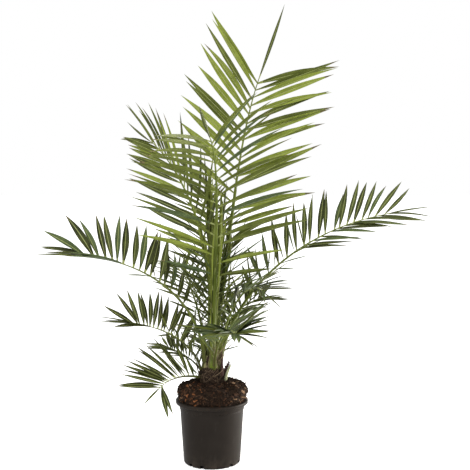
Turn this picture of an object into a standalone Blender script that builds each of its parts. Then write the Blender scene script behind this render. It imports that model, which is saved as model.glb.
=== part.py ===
"""Potted Canary Island date palm, about 1.6 m tall, in a round nursery pot.

Lengths are metres and angles are degrees. The origin is the centre of the pot's flat underside and
+Z is up. Headings are measured from +X towards +Y, and the plant's front looks towards -Y.
Every frond grows by one rule from its own row of sizes: a three-sided rachis that leaves the stem base,
and two ranks of folded leaflets fused to it.
"""

import math
from dataclasses import dataclass

import bmesh
import bpy
import numpy as np
from mathutils import Matrix, Vector
from mathutils.bvhtree import BVHTree

# Clearance kept between touching pieces, and the distance within which turned points are one
GAP = 0.0003
SAME_POINT = 0.00001

# Pot: a thin shell with a rolled rim, a shoulder band and drain notches at its foot
POT_HEIGHT = 0.215
POT_FOOT_RADIUS = 0.0955
POT_FOOT_ROUND = 0.007
POT_BODY_TOP_RADIUS = 0.1075
POT_SHOULDER_HEIGHT = 0.183
POT_BAND_RADIUS = 0.1100
POT_BAND_HEIGHT = 0.188
POT_LIP_RADIUS = 0.1225
POT_LIP_HEIGHT = 0.012
POT_LIP_WIDEST_SHARE = 0.35
POT_LIP_UNDERCUT = 0.0015
POT_LIP_ROUND = 0.004
POT_WALL = 0.0025
POT_RIM_FLARE = 0.0015
POT_RIM_FLARE_DEPTH = 0.003
POT_INNER_DROP = 0.002
POT_FOOT_THICKENING = 0.002
POT_FLOOR = 0.004
POT_SIDES = 36
# The notches stand in pairs around the foot: the first pair's heading and half a pair's spread
DRAIN_PAIRS = 4
DRAIN_FIRST_HEADING = 57.3
DRAIN_PAIR_SPREAD = 13.5
DRAIN_NOTCH_WIDTH = 0.012
DRAIN_NOTCH_HEIGHT = 0.008
DRAIN_NOTCH_DEPTH = 0.0025
DRAIN_CUTTER_LENGTH = 0.03

# Soil: the root ball fills the pot and stands up above its rim as a mound
SOIL_WALL_GAP = 0.0009
SOIL_SHOULDER_HEIGHT = 0.246
SOIL_SHOULDER_RADIUS = 0.1140
SOIL_EDGE_HEIGHT = 0.263
SOIL_EDGE_RADIUS = 0.104
SOIL_SLOPE_SHARE = 0.6
SOIL_TOP = 0.270
SOIL_FLAT_RADIUS = 0.046
SOIL_SIDES = 28
# Each wave in the mound's surface: lobes around it, radians of turn per metre outwards, and height
SOIL_WAVES = ((5, 40, 0.0030), (11, -90, 0.0020))

# Stem base: the swollen foot of the palm, from a flat cut at the soil to the flat crown
STEM_FOOT = SOIL_TOP + GAP
STEM_FOOT_RADIUS = 0.036
STEM_BELLY_HEIGHT = 0.292
STEM_BELLY_RADIUS = 0.038
STEM_NECK_HEIGHT = 0.335
STEM_NECK_RADIUS = 0.030
STEM_TOP = 0.362
STEM_TOP_RADIUS = 0.0215
STEM_SIDES = 24

# Leaflets: a folded blade, widest at this share of its length
LEAF_WIDEST = 0.42
LEAF_FOLD = 0.30
LEAF_THICKNESS_SHARE = 0.0105
LEAF_THINNEST = 0.0012
LEAF_ROOT_WIDTH_SHARE = 0.42
LEAF_SLIM_SHARE = 0.55
LEAF_CLEARANCE = 0.0007
# The leaflets' length along the blade: the first ones' share, how fast it grows, how late it falls
LEAF_FIRST_SHARE = 0.45
LEAF_GROWTH = 2.2
LEAF_WASTE_POWER = 1.5
# The two ranks stand this share of a step apart along the rachis
RANK_STAGGER = 0.25
# Below 1 the leaflets stand closer together towards the tip
LEAF_CROWDING = 0.76
END_LEAF_SINK = 0.006
END_LEAF_WIDTH_SHARE = 0.8
# Tried in turn until a leaflet finds a clear way: further lift and further opening
LEAF_NUDGES = ((0, 0), (9, 0), (-9, 0), (0, 7), (0, -7), (17, 3), (-17, 3), (26, -4), (-26, -4))

# Rachis sections along a frond, and how its width runs out towards the tip
RACHIS_STEPS = 9
RACHIS_TIP_SHARE = 0.14
RACHIS_TAPER = 1.15
RACHIS_DEPTH_SHARE = 0.62
RACHIS_FACE_SHARE = 0.36


@dataclass
class Frond:
    """One frond. Its blade is the stretch of rachis that carries leaflets."""

    name: str
    heading: float  # direction in which it leaves the stem
    perch: float  # distance of its foot from the axis on the crown, or 0 where it leans on the side
    foot: float  # height of its foot where it leans on the side
    rise: float  # climb of the rachis at the foot
    fall: float  # climb of the rachis at the tip
    bend: float  # below 1 it bends early, above 1 late
    sway: float  # sideways turn from foot to tip
    length: float  # rachis from foot to tip
    width: float  # petiole width at the foot
    bare: float  # share of the rachis below the first leaflets
    roll: float  # turn of the blade about the rachis
    twist: float  # further turn by the tip
    vee: float  # lift of both ranks above the blade's plane
    pairs: int  # leaflet pairs
    open: float  # angle of the first leaflets to the rachis
    close: float  # angle of the last leaflets to the rachis
    shut: float  # above 1 the leaflets close late, below 1 early
    blade: float  # longest leaflet
    waste: float  # share of length lost by the last leaflets
    end: float  # length of the end leaflet as a share of the longest
    droop: float  # sag of a leaflet's tip as a share of its length
    leaf_width: float  # width of the widest leaflet
    late: float = 0.0  # place along the blade before which its left rank has no leaflets
    late_right: float = 0.0  # the same for its right rank
    skew: float = 0.0  # how much more the right rank opens, and the left one less


FRONDS = [
    Frond("frond_tall_front", 286, 0.013, 0, 84, 25, 1.70, -23, 0.845, 0.0215,
          0.28, 40, -69, 4, 15, 72, 36, 2.2, 0.340, 0.32, 0.68, 0.06, 0.0215),
    Frond("frond_tall_back", 40, 0.013, 0, 81, 65, 4.0, 3, 0.965, 0.0205,
          0.30, 25, -78, 3, 17, 68, 49, 1.4, 0.308, 0.00, 0.99, 0.01, 0.0250, 0.0, 0.0, 5),
    Frond("frond_right_long", 7, 0, 0.342, 87, 8.5, 0.68, 5, 0.820, 0.0165,
          0.28, -27, -13, 16, 17, 57, 30, 2.6, 0.208, 0.19, 0.88, 0.01, 0.0200, 0.0, 0.36, -5),
    Frond("frond_left_long", 209, 0, 0.345, 95, 4, 0.74, -26, 0.590, 0.0170,
          0.30, 20, 15, 17, 15, 54, -4, 8.0, 0.208, 0.12, 0.80, 0.02, 0.0205, 0.64, 0.0, 28),
    Frond("frond_left_low", 192, 0, 0.316, 85, 8, 0.57, 12, 0.306, 0.0135,
          0.25, 35, 8, 28, 15, 60, -16, 8.0, 0.126, 0.00, 1.00, 0.01, 0.0150, 0.66, 0.0, 26),
    Frond("frond_left_lowest", 205, 0, 0.291, 16, -27, 1.19, 27, 0.174, 0.011,
          0.12, 52, -28, 11, 13, 80, 46, 1.0, 0.172, 0.12, 0.55, 0.00, 0.0150, 0.84),
    Frond("frond_right_front", 324, 0, 0.343, 80, -12, 1.83, -29, 0.405, 0.0130,
          0.45, -39, 35, 6, 12, 48, 38, 1.8, 0.160, 0.34, 1.00, 0.06, 0.0155, 0.0, 0.0, -12),
    Frond("frond_front_low", 283, 0, 0.322, 74, -2, 0.86, 7, 0.318, 0.011,
          0.40, -10, -3, 22, 12, 68, 14, 2.4, 0.205, 0.27, 0.80, 0.02, 0.0215),
    Frond("frond_upper_left", 152, 0.013, 0, 98, 23, 1.31, -29, 0.860, 0.0200,
          0.36, 78, 10, 20, 15, 60, 14, 0.9, 0.275, 0.18, 0.80, 0.01, 0.0205),
    Frond("frond_spear_back", 96, 0.0170, 0, 90, 86, 1.0, 60, 0.500, 0.009,
          0.36, 40, 0, 40, 8, 13, 6, 1.0, 0.210, 0.25, 0.90, 0.00, 0.0170),
    Frond("frond_spear_right", 343, 0.0170, 0, 89, 85, 1.0, 0, 0.420, 0.009,
          0.36, 40, 0, 40, 7, 13, 6, 1.0, 0.200, 0.25, 0.90, 0.00, 0.0170),
    Frond("frond_left_short", 163, 0, 0.305, 70, 5, 0.50, -25, 0.160, 0.010,
          0.35, 10, 8, 20, 8, 60, 26, 2.0, 0.140, 0.40, 0.70, 0.05, 0.0150),
    Frond("frond_back_upper", 92, 0, 0.345, 88, 24, 1.4, 10, 0.640, 0.0150,
          0.32, 10, 10, 20, 14, 66, 34, 2.0, 0.190, 0.30, 0.75, 0.04, 0.0150),
    Frond("frond_back_right", 42, 0, 0.334, 87, 2, 1.2, -10, 0.300, 0.0130,
          0.36, -12, -10, 22, 11, 58, 34, 2.0, 0.135, 0.15, 0.90, 0.05, 0.0140),
    Frond("frond_back_left", 117, 0, 0.320, 78, 14, 1.2, -4, 0.430, 0.0130,
          0.32, 12, 10, 20, 11, 60, 24, 2.0, 0.185, 0.30, 0.75, 0.05, 0.0125),
    Frond("frond_back_low", 76, 0, 0.306, 66, -6, 0.85, -6, 0.360, 0.0130,
          0.30, 0, 0, 20, 12, 62, 30, 2.0, 0.150, 0.30, 0.80, 0.05, 0.0130),
    Frond("frond_right_low", 100, 0, 0.296, 54, -12, 0.80, 4, 0.240, 0.011,
          0.30, -8, 0, 20, 9, 62, 30, 2.0, 0.100, 0.30, 0.80, 0.04, 0.0150),
]


@dataclass
class Stub:
    """A petiole that was cut off, or a dry sheath: a short leaning stump with no leaflets."""

    name: str
    heading: float
    foot: float
    rise: float
    length: float
    width: float
    end_share: float  # width at the cut as a share of the width at the foot
    colour: tuple


STUBS = [
    Stub("stub_right", 350, 0.280, 68, 0.068, 0.020, 0.45, (0.33, 0.36, 0.22, 1)),
    Stub("stub_front", 262, 0.290, 84, 0.050, 0.019, 0.50, (0.13, 0.17, 0.04, 1)),
    Stub("stub_back", 184, 0.284, 66, 0.040, 0.013, 0.60, (0.16, 0.11, 0.06, 1)),
    Stub("dry_sheath", 318, 0.296, 88, 0.082, 0.011, 0.60, (0.10, 0.05, 0.03, 1)),
]


def clear_scene():
    for thing in list(bpy.data.objects):
        bpy.data.objects.remove(thing)


def material(name, colour, roughness, metallic=0.0):
    made = bpy.data.materials.new(name)
    made.use_nodes = True
    shader = made.node_tree.nodes["Principled BSDF"]
    shader.inputs["Base Color"].default_value = colour
    shader.inputs["Roughness"].default_value = roughness
    shader.inputs["Metallic"].default_value = metallic
    return made


def add_object(name, bm, finish, parent=None):
    """Makes an object from a bmesh, which it frees."""
    mesh = bpy.data.meshes.new(name)
    bm.to_mesh(mesh)
    bm.free()
    made = bpy.data.objects.new(name, mesh)
    mesh.materials.append(finish)
    bpy.context.scene.collection.objects.link(made)
    made.parent = parent
    return made


def turned(profile, sides):
    """A closed solid from (radius, height) points that run from the axis out and back to the axis."""
    bm = bmesh.new()
    points = [bm.verts.new((radius, 0, height)) for radius, height in profile]
    edges = [bm.edges.new(pair) for pair in zip(points, points[1:])]
    bmesh.ops.spin(
        bm, geom=points + edges, cent=(0, 0, 0), axis=(0, 0, 1), angle=math.tau, steps=sides, use_merge=True
    )
    bmesh.ops.remove_doubles(bm, verts=bm.verts, dist=SAME_POINT)
    bmesh.ops.recalc_face_normals(bm, faces=bm.faces)
    return bm


def shade(made, sharp_angle=math.radians(40)):
    made.data.shade_smooth()
    made.data.set_sharp_from_angle(angle=sharp_angle)


def pot_wall_radius(height):
    """Outer radius of the pot's plain tapered side."""
    share = height / POT_SHOULDER_HEIGHT
    return POT_FOOT_RADIUS + (POT_BODY_TOP_RADIUS - POT_FOOT_RADIUS) * share


def pot_outline():
    """(radius, height) points of the pot's wall, up its outside, over the lip and down its inside."""
    outer = [(0, 0), (POT_FOOT_RADIUS - POT_FOOT_ROUND, 0)]
    for angle in (45, 90):
        turn = math.radians(angle)
        radius = POT_FOOT_RADIUS - POT_FOOT_ROUND * (1 - math.sin(turn))
        outer.append((radius, POT_FOOT_ROUND * (1 - math.cos(turn))))
    lip_foot = POT_HEIGHT - POT_LIP_HEIGHT
    band_top = (POT_BAND_RADIUS + POT_LIP_UNDERCUT / 2, lip_foot)
    outer += [(POT_BODY_TOP_RADIUS, POT_SHOULDER_HEIGHT), (POT_BAND_RADIUS, POT_BAND_HEIGHT), band_top]
    lip = [
        (POT_LIP_RADIUS - POT_LIP_UNDERCUT, lip_foot + POT_LIP_UNDERCUT / 2),
        (POT_LIP_RADIUS, lip_foot + POT_LIP_WIDEST_SHARE * POT_LIP_HEIGHT),
        (POT_LIP_RADIUS - POT_LIP_ROUND / 4, POT_HEIGHT - POT_LIP_UNDERCUT),
        (POT_LIP_RADIUS - POT_LIP_ROUND, POT_HEIGHT),
    ]
    inner_band = POT_BAND_RADIUS - POT_WALL
    inner = [
        (inner_band + POT_RIM_FLARE, POT_HEIGHT - POT_RIM_FLARE_DEPTH),
        (inner_band, POT_BAND_HEIGHT),
        (POT_BODY_TOP_RADIUS - POT_WALL, POT_SHOULDER_HEIGHT - POT_INNER_DROP),
        (inner_foot_radius(POT_FLOOR), POT_FLOOR),
        (0, POT_FLOOR),
    ]
    return outer + lip + inner


def inner_foot_radius(height):
    """Radius of the pot's inside close to its floor."""
    return pot_wall_radius(height) - POT_WALL - POT_FOOT_THICKENING


def drain_headings():
    for index in range(DRAIN_PAIRS):
        middle = DRAIN_FIRST_HEADING + 360 * index / DRAIN_PAIRS
        yield middle - DRAIN_PAIR_SPREAD
        yield middle + DRAIN_PAIR_SPREAD


def drain_cutters():
    """The boxes that cut the drain notches out of the pot's foot."""
    bm = bmesh.new()
    centre = POT_FOOT_RADIUS - DRAIN_NOTCH_DEPTH + DRAIN_CUTTER_LENGTH / 2
    size = (DRAIN_CUTTER_LENGTH, DRAIN_NOTCH_WIDTH, 2 * DRAIN_NOTCH_HEIGHT)
    for heading in drain_headings():
        turn = Matrix.Rotation(math.radians(heading), 3, "Z")
        made = bmesh.ops.create_cube(bm, size=1)["verts"]
        bmesh.ops.scale(bm, vec=size, verts=made)
        bmesh.ops.translate(bm, vec=(centre, 0, 0), verts=made)
        bmesh.ops.rotate(bm, cent=(0, 0, 0), matrix=turn, verts=made)
    return bm


def build_pot(parent):
    finish = material("pot_plastic", (0.028, 0.024, 0.021, 1), 0.55)
    pot = add_object("pot", turned(pot_outline(), POT_SIDES), finish, parent)
    cutter = add_object("drain_notch_cutter", drain_cutters(), finish)
    cutter.hide_render = True
    cutter.display_type = "WIRE"
    cut = pot.modifiers.new("drain_notches", "BOOLEAN")
    cut.operation = "DIFFERENCE"
    cut.solver = "EXACT"
    cut.object = cutter
    shade(pot)
    return pot


def build_soil(parent):
    """The root ball, whose mound is uneven to the eye but level where the stem stands."""
    low = POT_FLOOR + SOIL_WALL_GAP
    rim_inside = POT_BAND_RADIUS - POT_WALL - SOIL_WALL_GAP
    slope_radius = (SOIL_EDGE_RADIUS + SOIL_FLAT_RADIUS) / 2
    profile = [
        (0, low),
        (inner_foot_radius(low) - SOIL_WALL_GAP, low),
        (POT_BODY_TOP_RADIUS - POT_WALL - SOIL_WALL_GAP, POT_SHOULDER_HEIGHT - POT_INNER_DROP),
        (rim_inside, POT_BAND_HEIGHT + SOIL_WALL_GAP),
        (rim_inside, POT_HEIGHT),
        (SOIL_SHOULDER_RADIUS, SOIL_SHOULDER_HEIGHT),
        (SOIL_EDGE_RADIUS, SOIL_EDGE_HEIGHT),
        (slope_radius, SOIL_EDGE_HEIGHT + SOIL_SLOPE_SHARE * (SOIL_TOP - SOIL_EDGE_HEIGHT)),
        (SOIL_FLAT_RADIUS, SOIL_TOP),
        (0, SOIL_TOP),
    ]
    bm = turned(profile, SOIL_SIDES)
    for vert in bm.verts:
        radius = math.hypot(vert.co.x, vert.co.y)
        if vert.co.z < POT_HEIGHT + SAME_POINT or radius < SOIL_FLAT_RADIUS + SAME_POINT:
            continue
        turn = math.atan2(vert.co.y, vert.co.x)
        for lobes, twist, height in SOIL_WAVES:
            vert.co.z += height * math.sin(lobes * turn + twist * radius)
    soil = add_object("soil", bm, material("soil", (0.030, 0.017, 0.011, 1), 0.95), parent)
    shade(soil)
    return soil


def stem_radius(height):
    """Radius of the stem base at a height, which runs on below the soil for a foot that is set low."""
    heights = (STEM_FOOT, STEM_BELLY_HEIGHT, STEM_NECK_HEIGHT, STEM_TOP)
    radii = (STEM_FOOT_RADIUS, STEM_BELLY_RADIUS, STEM_NECK_RADIUS, STEM_TOP_RADIUS)
    return float(np.interp(height, heights, radii))


def build_stem(parent):
    profile = [(0, STEM_FOOT), (STEM_FOOT_RADIUS, STEM_FOOT)]
    profile += [(STEM_BELLY_RADIUS, STEM_BELLY_HEIGHT), (STEM_NECK_RADIUS, STEM_NECK_HEIGHT)]
    profile += [(STEM_TOP_RADIUS, STEM_TOP), (0, STEM_TOP)]
    stem = add_object(
        "stem_base", turned(profile, STEM_SIDES), material("stem_fibre", (0.055, 0.030, 0.018, 1), 0.9), parent
    )
    shade(stem)
    return stem


def three_sided(centre, side, face, width):
    """Corners of a rachis section: a flat upper face and a keel below it."""
    depth = width * RACHIS_DEPTH_SHARE
    brow = centre + face * depth * RACHIS_FACE_SHARE
    return [
        brow + side * width / 2,
        brow - side * width / 2,
        centre - face * depth * (1 - RACHIS_FACE_SHARE),
    ]


def directions(heading, climb):
    """Tangent, side and face vectors of a rachis with this heading and climb."""
    turn = np.radians(heading)
    lift = np.radians(climb)
    tangent = np.array([np.cos(lift) * np.cos(turn), np.cos(lift) * np.sin(turn), np.sin(lift)])
    side = np.array([np.sin(turn), -np.cos(turn), 0])
    return tangent, side, np.cross(side, tangent)


def foot_centre(heading, rise, width, height, perch):
    """Where a foot's centre goes, so that its section clears the stem base by the gap."""
    outward = directions(heading, 0)[0]
    tangent, side, face = directions(heading, rise)
    if perch:
        corners = three_sided(np.zeros(3), side, face, width)
        return outward * perch + np.array([0, 0, STEM_TOP + GAP - min(corner[2] for corner in corners)])
    centre = outward * (stem_radius(height) + GAP) + np.array([0, 0, height])
    for _ in range(3):
        corners = three_sided(centre, side, face, width)
        corners.append((corners[0] + corners[1]) / 2)
        short = max(stem_radius(corner[2]) + GAP - math.hypot(corner[0], corner[1]) for corner in corners)
        centre = centre + outward * short
    return centre


def rachis_width(frond, share):
    return frond.width * (RACHIS_TIP_SHARE + (1 - RACHIS_TIP_SHARE) * (1 - share) ** RACHIS_TAPER)


class Rachis:
    """The line of a frond's rachis, read at any share of its length."""

    FINE_STEPS = 60

    def __init__(self, frond):
        self.frond = frond
        self.shares = np.linspace(0, 1, self.FINE_STEPS + 1)
        start = foot_centre(frond.heading, frond.rise, frond.width, frond.foot, frond.perch)
        middles = (self.shares[1:] + self.shares[:-1]) / 2
        steps = [self.tangent_at(share) * frond.length / self.FINE_STEPS for share in middles]
        self.points = np.vstack([start, start + np.cumsum(steps, axis=0)])

    def angles_at(self, share):
        frond = self.frond
        heading = frond.heading + frond.sway * share
        climb = frond.rise + (frond.fall - frond.rise) * share**frond.bend
        return heading, climb

    def tangent_at(self, share):
        return directions(*self.angles_at(share))[0]

    def at(self, share):
        """Point, tangent, side and face there. The petiole's roll comes in by the first leaflets."""
        frond = self.frond
        point = np.array([np.interp(share, self.shares, self.points[:, axis]) for axis in range(3)])
        tangent, side, face = directions(*self.angles_at(share))
        ease = min(1.0, share / frond.bare)
        roll = np.radians(frond.roll * ease * ease * (3 - 2 * ease) + frond.twist * share)
        rolled = np.cos(roll) * side + np.sin(roll) * face
        return point, tangent, rolled, -np.sin(roll) * side + np.cos(roll) * face


def lofted(bm, rings):
    """Skins a row of rings of equal size and closes both ends."""
    made = [[bm.verts.new(Vector(corner)) for corner in ring] for ring in rings]
    count = len(made[0])
    for low, high in zip(made, made[1:]):
        for index in range(count):
            after = (index + 1) % count
            bm.faces.new((low[index], low[after], high[after], high[index]))
    bm.faces.new(reversed(made[0]))
    bm.faces.new(made[-1])
    bmesh.ops.recalc_face_normals(bm, faces=bm.faces)


def rachis_mesh(rachis):
    frond = rachis.frond
    rings = []
    for step in range(RACHIS_STEPS + 1):
        share = step / RACHIS_STEPS
        point, _, side, face = rachis.at(share)
        rings.append(three_sided(point, side, face, rachis_width(frond, share)))
    bm = bmesh.new()
    lofted(bm, rings)
    return bm


def leaf_points(root, tangent, direction, reach, width, sag, extra=0.0):
    """Corners of a leaflet: a root section, the widest section and the tip."""
    across = tangent - direction * float(np.dot(tangent, direction))
    across /= np.linalg.norm(across)
    upward = np.cross(direction, across)
    if upward[2] < 0:
        upward = -upward
    down = np.array([0, 0, -1.0])
    thick = max(reach * LEAF_THICKNESS_SHARE, LEAF_THINNEST) + extra
    half = width / 2 + extra
    fold = width * LEAF_FOLD
    middle = root + direction * reach * LEAF_WIDEST + down * sag * LEAF_WIDEST**2
    root_half = half * LEAF_ROOT_WIDTH_SHARE
    root_ring = [root + across * root_half, root - across * root_half, root - upward * thick]
    wide_ring = [
        middle + across * half + upward * fold,
        middle - across * half + upward * fold,
        middle - upward * thick,
    ]
    return root_ring, wide_ring, root + direction * (reach + extra) + down * sag


def leaf_mesh(corners):
    root_ring, wide_ring, tip = corners
    bm = bmesh.new()
    root = [bm.verts.new(Vector(corner)) for corner in root_ring]
    wide = [bm.verts.new(Vector(corner)) for corner in wide_ring]
    end = bm.verts.new(Vector(tip))
    bm.faces.new(root)
    for index in range(3):
        after = (index + 1) % 3
        bm.faces.new((root[index], root[after], wide[after]))
        bm.faces.new((root[index], wide[after], wide[index]))
        bm.faces.new((wide[index], wide[after], end))
    bmesh.ops.recalc_face_normals(bm, faces=bm.faces)
    return bm


def leaf_direction(frond, frame, place, rank, nudge):
    """Direction of a leaflet, opened from the rachis and lifted out of the blade's plane."""
    _, tangent, side, face = frame
    lift, spread = nudge
    opening = frond.open + (frond.close - frond.open) * place**frond.shut + rank * frond.skew
    angle = np.radians(opening + spread)
    vee = np.radians(frond.vee + lift)
    out = rank * np.cos(vee) * side + np.sin(vee) * face
    return np.cos(angle) * tangent + np.sin(angle) * out


def leaf_places(frond):
    """Each leaflet's place along the blade, 0 to 1, and its rank, -1 or 1."""
    for index in range(frond.pairs):
        for rank in (-1, 1):
            place = ((index + RANK_STAGGER * (1 + max(rank, 0))) / frond.pairs) ** LEAF_CROWDING
            if place >= (frond.late_right if rank > 0 else frond.late):
                yield place, rank


def leaf_length(frond, place):
    grown = min(1.0, LEAF_FIRST_SHARE + LEAF_GROWTH * place)
    return frond.blade * grown * (1 - frond.waste * place**LEAF_WASTE_POWER)


def leaf_width(frond, reach):
    return frond.leaf_width * (LEAF_SLIM_SHARE + (1 - LEAF_SLIM_SHARE) * reach / frond.blade)


def tree_of(meshes):
    """One search tree over several bmeshes."""
    points = []
    faces = []
    for bm in meshes:
        start = len(points)
        bm.verts.index_update()
        points.extend(vert.co.copy() for vert in bm.verts)
        faces.extend(tuple(start + vert.index for vert in face.verts) for face in bm.faces)
    return BVHTree.FromPolygons(points, faces)


def clears(swollen, obstacles):
    tree = tree_of([swollen])
    return not any(tree.overlap(other) for other in obstacles)


def side_leaflet(frond, frame, place, rank, obstacles):
    """A leaflet's corners and search mesh by the first nudge that gives it a clear way, or None."""
    reach = leaf_length(frond, place)
    for nudge in LEAF_NUDGES:
        direction = leaf_direction(frond, frame, place, rank, nudge)
        shape = (frame[0], frame[1], direction, reach, leaf_width(frond, reach), frond.droop * reach)
        swollen = leaf_mesh(leaf_points(*shape, LEAF_CLEARANCE))
        if clears(swollen, obstacles):
            return leaf_points(*shape), swollen
        swollen.free()
    return None


def end_leaflet(rachis, obstacles):
    """The leaflet that carries on from the rachis, where it has a clear way."""
    frond = rachis.frond
    point, tangent, side, _ = rachis.at(1.0)
    reach = frond.blade * frond.end
    width = frond.leaf_width * END_LEAF_WIDTH_SHARE
    shape = (point - tangent * END_LEAF_SINK, side, tangent, reach, width, frond.droop * reach)
    swollen = leaf_mesh(leaf_points(*shape, LEAF_CLEARANCE))
    if clears(swollen, obstacles):
        return leaf_points(*shape), swollen
    swollen.free()
    return None


def choose_leaflets(rachis, obstacles):
    """Corners of each leaflet that finds a clear way past the other pieces, each with its search mesh."""
    frond = rachis.frond
    found = []
    for place, rank in leaf_places(frond):
        frame = rachis.at(frond.bare + (1 - frond.bare) * place)
        found.append(side_leaflet(frond, frame, place, rank, obstacles))
    found.append(end_leaflet(rachis, obstacles))
    return [leaflet for leaflet in found if leaflet]


def fuse(base, pieces):
    """Joins the pieces to the base with one Boolean union and removes them."""
    group = bpy.data.collections.new(base.name + "_leaflets")
    bpy.context.scene.collection.children.link(group)
    for piece in pieces:
        bpy.context.scene.collection.objects.unlink(piece)
        group.objects.link(piece)
    join = base.modifiers.new("leaflets", "BOOLEAN")
    join.operation = "UNION"
    join.solver = "EXACT"
    join.operand_type = "COLLECTION"
    join.collection = group
    graph = bpy.context.evaluated_depsgraph_get()
    fused = bpy.data.meshes.new_from_object(base.evaluated_get(graph))
    base.modifiers.remove(join)
    base.data = fused
    for piece in pieces:
        bpy.data.objects.remove(piece)
    bpy.data.collections.remove(group)


def drop_scraps(made):
    """Keeps only the largest connected piece of a fused mesh."""
    bm = bmesh.new()
    bm.from_mesh(made.data)
    left = set(bm.verts)
    pieces = []
    while left:
        start = left.pop()
        piece = {start}
        edge_of_piece = [start]
        while edge_of_piece:
            vert = edge_of_piece.pop()
            for edge in vert.link_edges:
                other = edge.other_vert(vert)
                if other not in piece:
                    piece.add(other)
                    edge_of_piece.append(other)
        left -= piece
        pieces.append(piece)
    largest = max(pieces, key=len)
    loose = [vert for vert in bm.verts if vert not in largest]
    bmesh.ops.delete(bm, geom=loose, context="VERTS")
    bm.to_mesh(made.data)
    bm.free()
    made.data.update()


def build_stub(stub, parent):
    tangent, side, face = directions(stub.heading, stub.rise)
    foot = foot_centre(stub.heading, stub.rise, stub.width, stub.foot, 0)
    rings = []
    for share in (0, 0.5, 1):
        width = stub.width * (1 + (stub.end_share - 1) * share)
        rings.append(three_sided(foot + tangent * stub.length * share, side, face, width))
    bm = bmesh.new()
    lofted(bm, rings)
    return add_object(stub.name, bm, material(stub.name, stub.colour, 0.8), parent)


def tree_of_object(made):
    bm = bmesh.new()
    bm.from_mesh(made.data)
    tree = tree_of([bm])
    bm.free()
    return tree


def build_fronds(parent, still):
    """Grows all fronds. Each leaflet is tried against every other frond and the still pieces."""
    finish = material("leaf_green", (0.060, 0.110, 0.025, 1), 0.45)
    lines = [Rachis(frond) for frond in FRONDS]
    spines = [rachis_mesh(line) for line in lines]
    spine_trees = [tree_of([spine]) for spine in spines]
    leaf_trees = []
    for index, line in enumerate(lines):
        others = [tree for number, tree in enumerate(spine_trees) if number != index]
        kept = choose_leaflets(line, still + others + leaf_trees)
        leaf_trees.append(tree_of([swollen for _, swollen in kept]))
        base = add_object(line.frond.name, spines[index], finish, parent)
        pieces = []
        for corners, swollen in kept:
            swollen.free()
            pieces.append(add_object("leaflet", leaf_mesh(corners), finish))
        fuse(base, pieces)
        drop_scraps(base)


def main():
    clear_scene()
    plant = bpy.data.objects.new("potted_palm", None)
    bpy.context.scene.collection.objects.link(plant)
    pot = build_pot(plant)
    soil = build_soil(plant)
    stem = build_stem(plant)
    stubs = [build_stub(stub, plant) for stub in STUBS]
    still = [tree_of_object(made) for made in [pot, soil, stem] + stubs]
    build_fronds(plant, still)


main()
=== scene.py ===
"""Looks of a potted Canary Island date palm in a round nursery pot.

Lengths are metres and angles are degrees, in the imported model's own frame: the origin is the centre of
the pot's flat underside, +Z is up and the plant's front looks towards -Y. Headings are measured from +X
towards +Y. Each frond grows by one rule from its own row of sizes.
"""

import math
import random
from dataclasses import dataclass

import bmesh
import bpy
import numpy as np
from mathutils import Matrix, Vector, noise
from mathutils.bvhtree import BVHTree


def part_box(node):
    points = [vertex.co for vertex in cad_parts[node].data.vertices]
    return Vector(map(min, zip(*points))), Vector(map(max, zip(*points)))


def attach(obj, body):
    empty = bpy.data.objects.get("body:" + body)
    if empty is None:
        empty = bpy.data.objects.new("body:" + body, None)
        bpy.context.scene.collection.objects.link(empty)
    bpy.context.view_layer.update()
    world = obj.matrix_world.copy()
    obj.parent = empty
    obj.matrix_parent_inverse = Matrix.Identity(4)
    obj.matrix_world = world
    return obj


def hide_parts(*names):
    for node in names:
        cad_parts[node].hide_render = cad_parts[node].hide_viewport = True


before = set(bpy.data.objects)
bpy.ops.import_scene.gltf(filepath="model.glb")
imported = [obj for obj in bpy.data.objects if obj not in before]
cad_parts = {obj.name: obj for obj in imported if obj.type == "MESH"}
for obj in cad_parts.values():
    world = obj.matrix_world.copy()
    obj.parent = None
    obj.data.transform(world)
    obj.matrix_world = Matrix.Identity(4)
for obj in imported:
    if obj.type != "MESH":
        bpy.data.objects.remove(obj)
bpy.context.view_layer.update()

SEED = 20417
SAME_POINT = 0.0000005
UP = Vector((0, 0, 1))

# Camera: where it stands, how far it looks down, and its lens on a 36 mm sensor
CAMERA_PLACE = (0.0782, -3.0, 0.99)
CAMERA_DIP = 4.18
CAMERA_LENS = 68.94
CAMERA_SENSOR = 36

# Pot
POT_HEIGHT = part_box("pot")[1].z
POT_LIP_RADIUS = 0.1225
POT_LIP_HEIGHT = 0.012
POT_LIP_ROUND = 0.0032
POT_INNER_ROUND = 0.0020
POT_FOOT_RADIUS = 0.0955
POT_FOOT_ROUND = 0.007
POT_BODY_TOP_RADIUS = 0.1075
POT_SHOULDER_HEIGHT = 0.183
POT_SHOULDER_ROUND = 0.0016
POT_BAND_RADIUS = 0.1100
POT_BAND_HEIGHT = 0.188
POT_WALL = 0.0025
POT_FLOOR = 0.004
POT_SIDES = 144
DRAIN_PAIRS = 4
DRAIN_FIRST_HEADING = 57.3
DRAIN_PAIR_SPREAD = 13.5
DRAIN_NOTCH_WIDTH = 0.013
DRAIN_NOTCH_HEIGHT = 0.012
DRAIN_NOTCH_DEPTH = 0.012
DRAIN_NOTCH_ROUND = 0.0025
DRAIN_CUTTER = 0.03

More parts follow.
